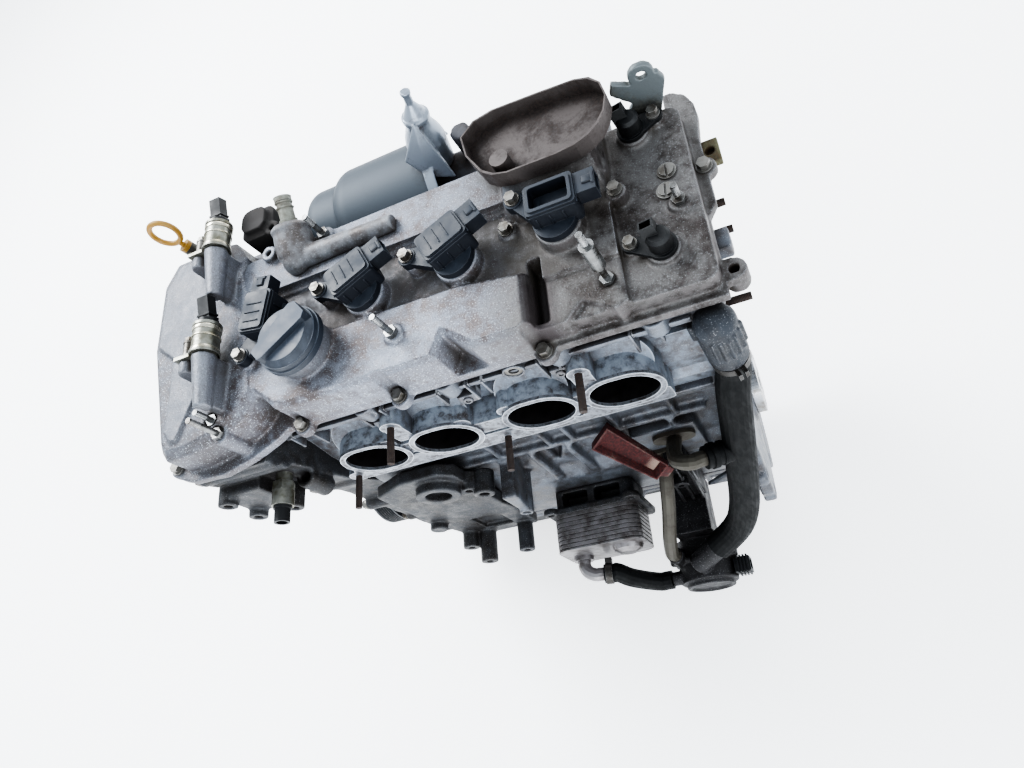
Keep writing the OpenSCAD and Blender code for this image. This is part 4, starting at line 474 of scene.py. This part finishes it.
def fit_up(obj, name, slot, body="engine", finish=None, smooth=35, soft=0.0):
    """Name, soft edges, shading, finish and body of a piece."""
    obj.name = obj.data.name = name
    pick(obj)
    if soft:
        edge = obj.modifiers.new("soft_edge", "BEVEL")
        edge.width, edge.segments, edge.limit_method, edge.angle_limit = soft * MM, 2, "ANGLE", math.radians(40)
        bpy.ops.object.modifier_apply(modifier=edge.name)
    bpy.ops.object.shade_smooth_by_angle(angle=math.radians(smooth))
    wear_finish(obj, finish or slot)
    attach(obj, body)
    return obj


def facing(place, axis, turn=0.0):
    """Matrix that lays local Z along an axis, at a place in mm."""
    spin = Vector((0, 0, 1)).rotation_difference(Vector(axis)).to_matrix().to_4x4()
    return Matrix.Translation(Vector(place) * MM) @ spin @ Matrix.Rotation(math.radians(turn), 4, "Z")


def turned(profile, vertices=40, ring=False):
    """A lathe-turned shape about Z; profile is (radius, height) in mm from one end to the other."""
    r, z = profile[0]
    bpy.ops.mesh.primitive_circle_add(vertices=vertices, radius=r * MM, location=(0, 0, z * MM))
    obj = settle(bpy.context.object)
    bpy.ops.object.mode_set(mode="EDIT")
    bpy.ops.mesh.select_all(action="SELECT")
    for (r0, z0), (r1, z1) in zip(profile, profile[1:]):
        bpy.ops.mesh.extrude_region_move(TRANSFORM_OT_translate={"value": (0, 0, (z1 - z0) * MM)})
        bpy.ops.transform.resize(value=(r1 / r0, r1 / r0, 1), center_override=(0, 0, z1 * MM))
    bpy.ops.mesh.select_all(action="SELECT")
    if ring:
        bpy.ops.mesh.select_all(action="DESELECT")
        bpy.ops.mesh.select_non_manifold()
        bpy.ops.mesh.bridge_edge_loops()
    else:
        bpy.ops.mesh.fill_holes(sides=0)
    bpy.ops.mesh.select_all(action="SELECT")
    bpy.ops.mesh.normals_make_consistent(inside=False)
    bpy.ops.object.mode_set(mode="OBJECT")
    return obj


def bar(size, taper=1.0, soft=0.0):
    """A straight bar with its foot at the origin; taper narrows its far end."""
    x, y, z = (s * MM for s in size)
    bpy.ops.mesh.primitive_cube_add(size=1, location=(0, 0, z / 2), scale=(x, y, z))
    obj = settle(bpy.context.object)
    bpy.ops.object.mode_set(mode="EDIT")
    bpy.ops.mesh.select_all(action="DESELECT")
    mesh = bmesh.from_edit_mesh(obj.data)
    mesh.faces.ensure_lookup_table()
    for face in mesh.faces:
        face.select_set(face.normal.z > 0.9)
    bmesh.update_edit_mesh(obj.data)
    if taper != 1.0:
        bpy.ops.transform.resize(value=(taper, taper, 1), center_override=(0, 0, z))
    if soft:
        bpy.ops.mesh.select_all(action="SELECT")
        bpy.ops.mesh.bevel(offset=soft * MM, segments=2, affect="EDGES")
    bpy.ops.object.mode_set(mode="OBJECT")
    return obj


def join(objects):
    """Several pieces made one."""
    pick(*objects)
    if len(objects) > 1:
        bpy.ops.object.join()
    return bpy.context.object


def copies(obj, places):
    """Own-mesh copies of one piece at each matrix, joined into a single piece."""
    out = []
    for place in places:
        twin = obj.copy()
        twin.data = obj.data.copy()
        bpy.context.collection.objects.link(twin)
        out.append(settle(twin, place))
    bpy.data.objects.remove(obj)
    return join(out)


def thread(radius, length, pitch=1.5):
    """A screw thread round Z, to lie on a plain stud."""
    ridge, upright = (radius * MM, 0, pitch * 0.6 * MM), (math.radians(90), 0, 0)
    bpy.ops.mesh.primitive_circle_add(vertices=3, radius=pitch * 0.62 * MM, location=ridge, rotation=upright)
    obj = settle(bpy.context.object)
    turn = obj.modifiers.new("helix", "SCREW")
    rounds = max(1, int(length / pitch) - 1)
    turn.angle, turn.screw_offset, turn.iterations, turn.steps = 2 * math.pi, pitch * MM, rounds, 18
    pick(obj)
    bpy.ops.object.modifier_apply(modifier=turn.name)
    return obj


SAME_POINT = 1e-6  # metres, under which two points are one


def slot_of(node):
    """Material slot of a CAD node."""
    return next(part["material_slot"] for part in frame["record"]["subparts"] if part["node"] == node)


def loose_parts(node):
    """Lowest and highest corner, in mm, of each separate body in a CAD node's mesh."""
    mesh = bmesh.new()
    mesh.from_mesh(frame["nodes"][node].data)
    bmesh.ops.remove_doubles(mesh, verts=mesh.verts, dist=SAME_POINT)
    seen, out = set(), []
    for start in mesh.verts:
        if start in seen:
            continue
        seen.add(start)
        queue, points = [start], []
        while queue:
            vert = queue.pop()
            points.append(vert.co / MM)
            for edge in vert.link_edges:
                other = edge.other_vert(vert)
                if other not in seen:
                    seen.add(other)
                    queue.append(other)
        out.append(tuple(Vector([end(p[i] for p in points) for i in range(3)]) for end in (min, max)))
    mesh.free()
    return out


# ---------------------------------------------------------------- castings
CASTINGS = {  # node: (grid in mm, smoothing rounds, most faces)
    "cam_cover": (1.5, 4, 190000), "timing_cover": (1.8, 4, 120000), "camshaft_housing": (1.9, 3, 120000),
    "engine_block": (2.3, 4, 170000), "upper_oil_pan": (2.3, 3, 70000), "exhaust_manifold": (1.8, 6, 90000),
    "water_outlet": (1.3, 4, 50000), "coolant_inlet_housing": (1.4, 4, 60000), "breather_duct": (1.2, 5, 50000),
    "side_housing": (1.4, 3, 50000), "water_pump": (1.4, 4, 60000), "cooler_adapter": (1.4, 3, 50000),
    "shield_clamp": (1.0, 3, 50000), "rear_bracket": (0.9, 3, 30000), "lifting_hook": (1.0, 3, 40000),
}


class ENGINE_OT_castings(bpy.types.Operator):
    """Cast pieces with the rounded edges and corners that sand and die casting leave"""
    bl_idname = "engine.castings"
    bl_label = "Castings"

    def execute(self, context):
        for node, (grid, rounds, most) in CASTINGS.items():
            source = frame["nodes"][node]
            obj = bpy.data.objects.new(node + "_cast", source.data.copy())
            context.collection.objects.link(obj)
            pick(obj)
            bpy.ops.object.mode_set(mode="EDIT")
            bpy.ops.mesh.select_all(action="SELECT")
            bpy.ops.mesh.remove_doubles(threshold=SAME_POINT)
            bpy.ops.object.mode_set(mode="OBJECT")
            for kind, settings in (("REMESH", {"mode": "VOXEL", "voxel_size": grid * MM}),
                                   ("SMOOTH", {"factor": 0.5, "iterations": rounds})):
                step = obj.modifiers.new(kind.lower(), kind)
                for key, value in settings.items():
                    setattr(step, key, value)
                bpy.ops.object.modifier_apply(modifier=step.name)
            faces = sum(len(p.vertices) - 2 for p in obj.data.polygons)
            if faces > most:
                step = obj.modifiers.new("thin_out", "DECIMATE")
                step.ratio = most / faces
                bpy.ops.object.modifier_apply(modifier=step.name)
            fit_up(obj, node + "_cast", slot_of(node), finish=OWN_FINISH.get(node), smooth=60)
            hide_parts(node)
        return {"FINISHED"}


# ---------------------------------------------------------------- threads and bolt heads
LONG_STUD = 25  # mm; shorter ones are cap studs without a free thread


class ENGINE_OT_threads(bpy.types.Operator):
    """Screw threads on the studs of the intake flange, the gearbox end and the cam cover"""
    bl_idname = "engine.threads"
    bl_label = "Stud threads"

    def execute(self, context):
        pins = [item for item in frame["record"]["mounts"] if item["kind"] == "pin"]
        for item in pins:
            place, axis = Vector(item["pos_m"]) / MM, Vector(item["axis"])
            length, radius = item["dims"]["length_mm"], item["dims"]["r_mm"]
            reach = length * 0.6
            screw = settle(thread(radius - 0.4, reach, 1.25), facing(place + axis * (length / 2 - reach - 0.8), axis))
            fit_up(screw, item["name"] + "_thread", "dark_stud")
        tops = []
        for low, high in loose_parts("cover_studs"):
            if high.z - low.z > LONG_STUD:
                tops.append(((low + high) / 2, high.z))
        for i, (mid, top) in enumerate(tops):
            screw = settle(thread(2.6, 14, 1.1), facing((mid.x, mid.y, top - 14.5), (0, 0, 1)))
            fit_up(screw, f"cover_stud_thread_{i + 1}", "bright_stud")
        return {"FINISHED"}


class ENGINE_OT_bolt_heads(bpy.types.Operator):
    """Turned rims and dished tops on the hexagon bolts"""
    bl_idname = "engine.bolt_heads"
    bl_label = "Bolt heads"

    def execute(self, context):
        for node in ("cover_bolts", "coil_bolts"):
            rim = turned(((2.2, -0.4), (4.3, -0.4), (4.6, 0.1), (4.1, 0.35), (3.5, 0.1), (2.2, 0.02)), 28, ring=True)
            places = []
            for low, high in loose_parts(node):
                places.append(facing(((low.x + high.x) / 2, (low.y + high.y) / 2, high.z - 0.36), (0, 0, 1)))
            fit_up(copies(rim, places), node + "_rims", slot_of(node))
        return {"FINISHED"}


# ---------------------------------------------------------------- oil control valves
class ENGINE_OT_valve_bands(bpy.types.Operator):
    """Rolled bands, crimped seam and plug collar on the barrels of the oil control valves"""
    bl_idname = "engine.valve_bands"
    bl_label = "Valve bands"

    def execute(self, context):
        for node in ("intake_oil_control_valve", "exhaust_oil_control_valve"):
            low, high = (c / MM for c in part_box(node))
            radius = (high.z - low.z) / 2
            x, z = high.x - radius, (low.z + high.z) / 2
            barrel = radius - 1.5
            bands = []
            for back, wide in ((6, 4.5), (15, 2.0), (31, 6.0)):  # from the plug's end, and across
                half = wide / 2
                half_round = ((-1, -1), (0.5, -1), (0.9, -0.5), (0.9, 0.5), (0.5, 1), (-1, 1))
                band = turned([(barrel + out, half * up) for out, up in half_round], 48, ring=True)
                bands.append(settle(band, facing((x, high.y - back, z), (0, 1, 0))))
            name = node.replace("_oil_control_valve", "_valve_bands")
            fit_up(join(bands), name, "clamp_steel", finish="rolled_band")
        return {"FINISHED"}


# ---------------------------------------------------------------- filler cap
CAP_TEETH = 54


class ENGINE_OT_cap_grip(bpy.types.Operator):
    """Fine grip teeth round the filler cap's rim and a raised line on its face"""
    bl_idname = "engine.cap_grip"
    bl_label = "Cap grip"

    def execute(self, context):
        low, high = (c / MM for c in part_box("oil_filler_cap"))
        x, y = (low.x + high.x) / 2, (low.y + high.y) / 2
        radius = (high.x - low.x) / 2
        foot = high.z - context.scene.engine_look.cap_height / MM
        tooth = bar((1.1, 1.7, 4.6), 0.8, 0.3)
        rim = Matrix.Translation(((radius - 0.75) * MM, 0, 1.2 * MM))
        turns = [360 * i / CAP_TEETH for i in range(CAP_TEETH)]
        teeth = copies(tooth, [facing((x, y, foot), (0, 0, 1), turn) @ rim for turn in turns])
        line = turned(((radius - 8.4, 0), (radius - 7.6, 0.5), (radius - 7.0, 0)), 64, ring=True)
        settle(line, facing((x, y, foot + 0.69 * (high.z - foot)), (0, 0, 1)))
        fit_up(join([teeth, line]), "filler_cap_teeth", "slate_plastic", "filler_cap")
        return {"FINISHED"}


# ---------------------------------------------------------------- ignition coils
COIL_TURNS = (80, 25, 25, 0)  # degrees, from the timing end


class ENGINE_OT_coil_trim(bpy.types.Operator):
    """Moulded ribs, lid seam, connector latch and pins of each ignition coil"""
    bl_idname = "engine.coil_trim"
    bl_label = "Coil trim"

    def execute(self, context):
        for i, turn in enumerate(COIL_TURNS):
            node = f"ignition_coil_{i + 1}"
            low, high = (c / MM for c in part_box(node))
            look = context.scene.engine_look
            seat = Vector((look.cylinder_x[i] / MM, 0, high.z - look.coil_height / MM - 2))
            here = facing(seat, (0, 0, 1), turn)
            top = look.coil_height / MM + 2

            def at(x, y, z, spin=0.0):
                return here @ Matrix.Translation(Vector((x, y, z)) * MM) @ Matrix.Rotation(math.radians(spin), 4, "Z")

            parts = []
            if i < 3:  # the last coil has a dished lid without ribs
                for x in (-13, -3.5, 6):
                    parts.append(settle(bar((1.4, 20, 1.2), 0.9, 0.3), at(x + 4, 10, top - 0.2)))
            # seam round the case, under the lid
            sides = ((3.5, -6.2, 42, 1.0), (3.5, 26.2, 42, 1.0), (-19.2, 10, 1.0, 29), (26.2, 10, 1.0, 29))
            for x, y, long, wide in sides:
                parts.append(settle(bar((long, wide, 1.6), 0.98, 0.3), at(x, y, top - 6.5)))
            # upright webs on the case's long sides
            for x in (-12, 0, 12):
                for y in (-6.3, 26.3):
                    parts.append(settle(bar((1.6, 1.4, 12), 0.9, 0.35), at(x, y, 7)))
            # latch on the connector shell
            parts.append(settle(bar((9, 8, 2.2), 0.85, 0.5), at(37, 13, 22.6)))
            parts.append(settle(bar((3, 12, 1.4), 0.9, 0.4), at(42, 13, 22.8)))
            fit_up(join(parts), f"coil_trim_{i + 1}", "slate_plastic")
            pins = [settle(bar((10, 0.8, 0.8), 1.0, 0.15), at(33, 13 + d, 15)) for d in (-4.5, 0, 4.5)]
            fit_up(join(pins), f"coil_pins_{i + 1}", "machined_steel")
        return {"FINISHED"}


# ---------------------------------------------------------------- breather
class ENGINE_OT_breather_lips(bpy.types.Operator):
    """Raised lips that hold a hose on the breather's nipple"""
    bl_idname = "engine.breather_lips"
    bl_label = "Breather lips"

    def execute(self, context):
        rings = []
        port = next(item for item in frame["record"]["mounts"] if item["name"] == "breather_port")
        place, axis = Vector(port["pos_m"]) / MM, Vector(port["axis"])
        radius, half = 9.0, port["dims"]["length_mm"] / 2
        for back in (1.4, 7.0, 12.6):  # from the open end
            lip = ((-1.6, -1.1), (-0.2, -0.8), (0.5, 0.3), (-0.1, 0.9), (-1.6, 1.0))
            ring = turned([(radius + out, up) for out, up in lip], 36, ring=True)
            rings.append(settle(ring, facing(place + axis * (half - back), axis)))
        fit_up(join(rings), "breather_lips", "duct_metal", finish="pale_nipple")
        return {"FINISHED"}


# ---------------------------------------------------------------- lower inlet side
class ENGINE_OT_rust_channel(bpy.types.Operator):
    """The rusted channel bracket: a pressed trough, open outwards, with a thin lip and a bent tongue"""
    bl_idname = "engine.rust_channel"
    bl_label = "Rusted channel"

    def execute(self, context):
        along = Vector((62, -44, -66)).normalized()
        outward = Vector((0.12, -0.77, 0.62))
        outward = (outward - along * outward.dot(along)).normalized()
        lie = Matrix((outward.cross(along), outward, along)).transposed().to_4x4()
        place = Matrix.Translation(Vector((80, -97.5, 370)) * MM) @ lie
        trough = bar((31, 15, 82), 0.72)
        bpy.ops.object.mode_set(mode="EDIT")
        bpy.ops.mesh.select_all(action="DESELECT")
        mesh = bmesh.from_edit_mesh(trough.data)
        for face in mesh.faces:
            if face.normal.y > 0.9:
                face.select_set(True)
        bmesh.update_edit_mesh(trough.data)
        bpy.ops.mesh.inset(thickness=1.7 * MM)
        bpy.ops.mesh.extrude_region_move(TRANSFORM_OT_translate={"value": (0, -10.5 * MM, 0)})
        bpy.ops.transform.resize(value=(0.76, 1, 0.86), center_override=(0, 0, 44 * MM))
        bpy.ops.mesh.select_all(action="SELECT")
        bpy.ops.mesh.normals_make_consistent(inside=False)
        bpy.ops.object.mode_set(mode="OBJECT")
        tongue = bar((17, 2.4, 15), 0.7, 0.6)
        settle(tongue, facing((0, 0.5, 81), (0, -0.5, 0.9)))
        obj = settle(join([tongue, trough]), place)
        fit_up(obj, "rusted_channel", "rust_steel", soft=0.5, finish="red_rust")
        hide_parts("rust_bracket")
        return {"FINISHED"}


class ENGINE_OT_pump_web(bpy.types.Operator):
    """Cast arm with ribs that carries the water pump from the block"""
    bl_idname = "engine.pump_web"
    bl_label = "Pump arm"

    def execute(self, context):
        low, high = (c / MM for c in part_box("water_pump"))
        x = (low.x + high.x) / 2
        arm = settle(bar((34, 30, 120), 0.72, 2.0), facing((x + 12, -106, high.z - 14), (0.05, 0.02, 1)))
        ribs = []
        for out in (0, 12, 24):
            ribs.append(settle(bar((4, 14, 110), 0.6, 1.0), facing((x + out, -122, high.z - 8), (0.05, 0.03, 1))))
        boss = turned(((9, 0), (9, 8), (7.5, 9), (4, 9), (4, 6)), 32)
        settle(boss, facing((x + 12, -120, high.z + 60), (0, -1, 0)))
        fit_up(join([arm, *ribs, boss]), "pump_arm", "pump_cast")
        return {"FINISHED"}


class ENGINE_OT_intake_valves(bpy.types.Operator):
    """Valve stem ends deep inside the four intake ports"""
    bl_idname = "engine.intake_valves"
    bl_label = "Intake valves"

    def execute(self, context):
        parts = []
        for x in PORTS_X:
            for side in (-9, 9):
                valve = turned(((2.6, 0), (2.6, 20), (6, 25), (11, 28), (11, 29), (2.6, 29)), 24)
                parts.append(settle(valve, facing((x + side, -72, PORTS_Z + 8), (0, 0.6, -0.8))))
        fit_up(join(parts), "intake_valves", "dark_stud")
        return {"FINISHED"}


class ENGINE_OT_housing_webs(bpy.types.Operator):
    """Ledge, webs and pads of the casting between the intake ports and the cam cover"""
    bl_idname = "engine.housing_webs"
    bl_label = "Housing webs"

    def execute(self, context):
        low, high = (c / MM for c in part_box("camshaft_housing"))
        foot = high.z - 22
        parts = [settle(bar((6, 5, 430), 1.0, 1.0), facing((-205, -86, foot + 7), (1, 0, 0)))]
        for i, x in enumerate((-196, -170, -110, -84, -22, 10, 26, 84, 100, 172, 196)):
            tall = 34 if i % 2 else 24
            parts.append(settle(bar((3.2, 16, tall), 0.7, 0.8), facing((x, -84, foot - tall * 0.55), (0, -0.06, 1))))
        for x in (-97, 0, 97):
            parts.append(settle(bar((22, 15, 10), 0.86, 1.6), facing((x, -82, foot - 14), (0, -1, 0.1))))
            plug = turned(((5, 0), (5, 2), (4.2, 2.8), (2.6, 2.8), (2.6, 1.2)), 28)
            parts.append(settle(plug, facing((x, -91.5, foot - 13), (0, -1, 0.1))))
        fit_up(join(parts), "housing_webs", "head_cast", finish="housing_cast")
        return {"FINISHED"}


# ---------------------------------------------------------------- light and floor
LIT_POINT = Vector((0, 0, 0.45))  # where every lamp looks


def area_light(name, place, size, watts, colour):
    bpy.ops.object.light_add(type="AREA", location=place)
    lamp = bpy.context.object
    lamp.name = name
    lamp.data.shape = "RECTANGLE"
    lamp.data.size, lamp.data.size_y = size
    lamp.data.energy = watts
    lamp.data.color = colour
    lamp.rotation_euler = (LIT_POINT - Vector(place)).to_track_quat("-Z", "Y").to_euler()


class ENGINE_OT_stage(bpy.types.Operator):
    """Pale floor, soft studio light and the camera"""
    bl_idname = "engine.stage"
    bl_label = "Stage"

    def execute(self, context):
        look = context.scene.engine_look
        bpy.ops.mesh.primitive_plane_add(size=14, location=(0, 0, -0.0006))
        floor = context.object
        floor.name = "floor"
        p = Paint("pale_floor")
        haze = p.noise(900, 2, 0.5)
        colour = p.mix(haze, linear(look.floor_colour[:]), linear([c * 0.985 for c in look.floor_colour]))
        glow = {"Emission_Color": (1, 1, 1, 1), "Emission_Strength": look.floor_glow}
        floor.data.materials.append(p.surface(colour, 0.85 + haze * 0.05, **glow))
        world = bpy.data.worlds.new("studio")
        world.use_nodes = True
        sky = world.node_tree.nodes["Background"].inputs
        sky["Color"].default_value = (0.86, 0.93, 1.0, 1)
        sky["Strength"].default_value = look.sky_light
        context.scene.world = world
        area_light("key", (-1.7, 1.5, 2.6), (1.6, 1.6), look.key_watts, (0.96, 0.98, 1.0))
        area_light("fill", (2.4, -1.6, 1.9), (2.2, 2.2), look.key_watts * 0.28, (0.9, 0.95, 1.0))
        area_light("front", (0.1, -2.5, 1.1), (2.4, 1.4), look.key_watts * 0.42, (0.93, 0.97, 1.0))
        area_light("back", (0.6, 2.6, 1.5), (2.0, 1.2), look.key_watts * 0.2, (1, 1, 1))
        bpy.ops.object.camera_add(location=CAMERA_AT)
        camera = context.object
        camera.matrix_world = Matrix.Translation(CAMERA_AT) @ Matrix(CAMERA_AXES).to_4x4()
        camera.data.sensor_width = 36
        camera.data.lens = look.lens
        camera.data.clip_end = 60
        context.scene.camera = camera
        context.scene.view_settings.view_transform = "AgX"
        context.scene.view_settings.look = "AgX - High Contrast"
        context.scene.view_settings.exposure = look.exposure
        return {"FINISHED"}


# ---------------------------------------------------------------- camera
CAMERA_AT = Vector((0.29538, -0.41549, 1.11026))
CAMERA_AXES = ((0.900412, 0.263485, 0.34617), (-0.084286, 0.886304, -0.45537), (-0.426794, 0.380843, 0.820247))


# ---------------------------------------------------------------- settings and panel
class EngineLook(bpy.types.PropertyGroup):
    """Light and camera of the stage"""
    floor_colour: bpy.props.IntVectorProperty(
        name="Floor colour", description="Screen colour of the floor", default=(252, 252, 252), min=0, max=255)
    floor_glow: bpy.props.FloatProperty(
        name="Floor glow", description="Light that the floor gives off by itself", default=0.6, min=0)
    sky_light: bpy.props.FloatProperty(
        name="Sky light", description="Strength of the even light from all round", default=1.05, min=0)
    key_watts: bpy.props.FloatProperty(
        name="Key light", description="Power of the main light", default=92, min=0, unit="POWER")
    lens: bpy.props.FloatProperty(
        name="Lens", description="Focal length of the camera", default=26.582, min=10, unit="CAMERA")
    exposure: bpy.props.FloatProperty(
        name="Exposure", description="Brightening of the picture", default=0.12)
    cap_height: bpy.props.FloatProperty(
        name="Cap height", description="Height of the oil filler cap above its boss", default=0.024, unit="LENGTH")
    coil_height: bpy.props.FloatProperty(
        name="Coil height", description="Height of a coil's case above its seat", default=0.026, unit="LENGTH")
    cylinder_x: bpy.props.FloatVectorProperty(
        name="Cylinders", description="Place of each cylinder along the crankshaft",
        default=(-0.158, -0.058, 0.042, 0.142), size=4, unit="LENGTH")


class ENGINE_OT_finish_frame(bpy.types.Operator):
    """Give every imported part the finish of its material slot"""
    bl_idname = "engine.finish_frame"
    bl_label = "Finishes"

    def execute(self, context):
        for part in frame["record"]["subparts"]:
            node = frame["nodes"][part["node"]]
            wear_finish(node, OWN_FINISH.get(part["node"], part["material_slot"]))
        return {"FINISHED"}


# nodes whose finish isn't that of their material slot
OWN_FINISH = {"camshaft_housing": "housing_cast", "rear_bracket": "bracket_steel", "side_housing": "plastic_box",
              "breather_nipple": "pale_nipple", "water_outlet": "outlet_cast", "shield_clamp": "silver_sheet",
              "oil_filler_cap": "cap_plastic"}
made = {}  # finishes made so far


def wear_finish(obj, finish):
    """Give a piece its finish, made the first time it is asked for."""
    if finish not in made:
        lay_on, settings = FINISHES[finish]
        made[finish] = lay_on(finish, **settings)
    obj.data.materials.clear()
    obj.data.materials.append(made[finish])


class ENGINE_PT_panel(bpy.types.Panel):
    """Buttons of the engine's pieces"""
    bl_label = "Engine"
    bl_idname = "ENGINE_PT_panel"
    bl_space_type = "VIEW_3D"
    bl_region_type = "UI"
    bl_category = "Engine"

    def draw(self, context):
        for step in STEPS:
            self.layout.operator(step.bl_idname)


STEPS = (ENGINE_OT_finish_frame, ENGINE_OT_castings, ENGINE_OT_threads, ENGINE_OT_bolt_heads, ENGINE_OT_valve_bands,
         ENGINE_OT_cap_grip, ENGINE_OT_coil_trim, ENGINE_OT_breather_lips, ENGINE_OT_rust_channel, ENGINE_OT_pump_web,
         ENGINE_OT_intake_valves, ENGINE_OT_housing_webs, ENGINE_OT_stage)
CLASSES = (EngineLook, *STEPS, ENGINE_PT_panel)


def register():
    for cls in CLASSES:
        bpy.utils.register_class(cls)
    bpy.types.Scene.engine_look = bpy.props.PointerProperty(type=EngineLook)


def unregister():
    del bpy.types.Scene.engine_look
    for cls in reversed(CLASSES):
        bpy.utils.unregister_class(cls)


def main():
    """Make every piece in order."""
    register()
    for step in STEPS:
        group, call = step.bl_idname.split(".")
        if getattr(getattr(bpy.ops, group), call)() != {"FINISHED"}:
            raise RuntimeError(step.bl_idname + " didn't finish")
    bpy.context.view_layer.update()


if __name__ == "__main__":
    main()
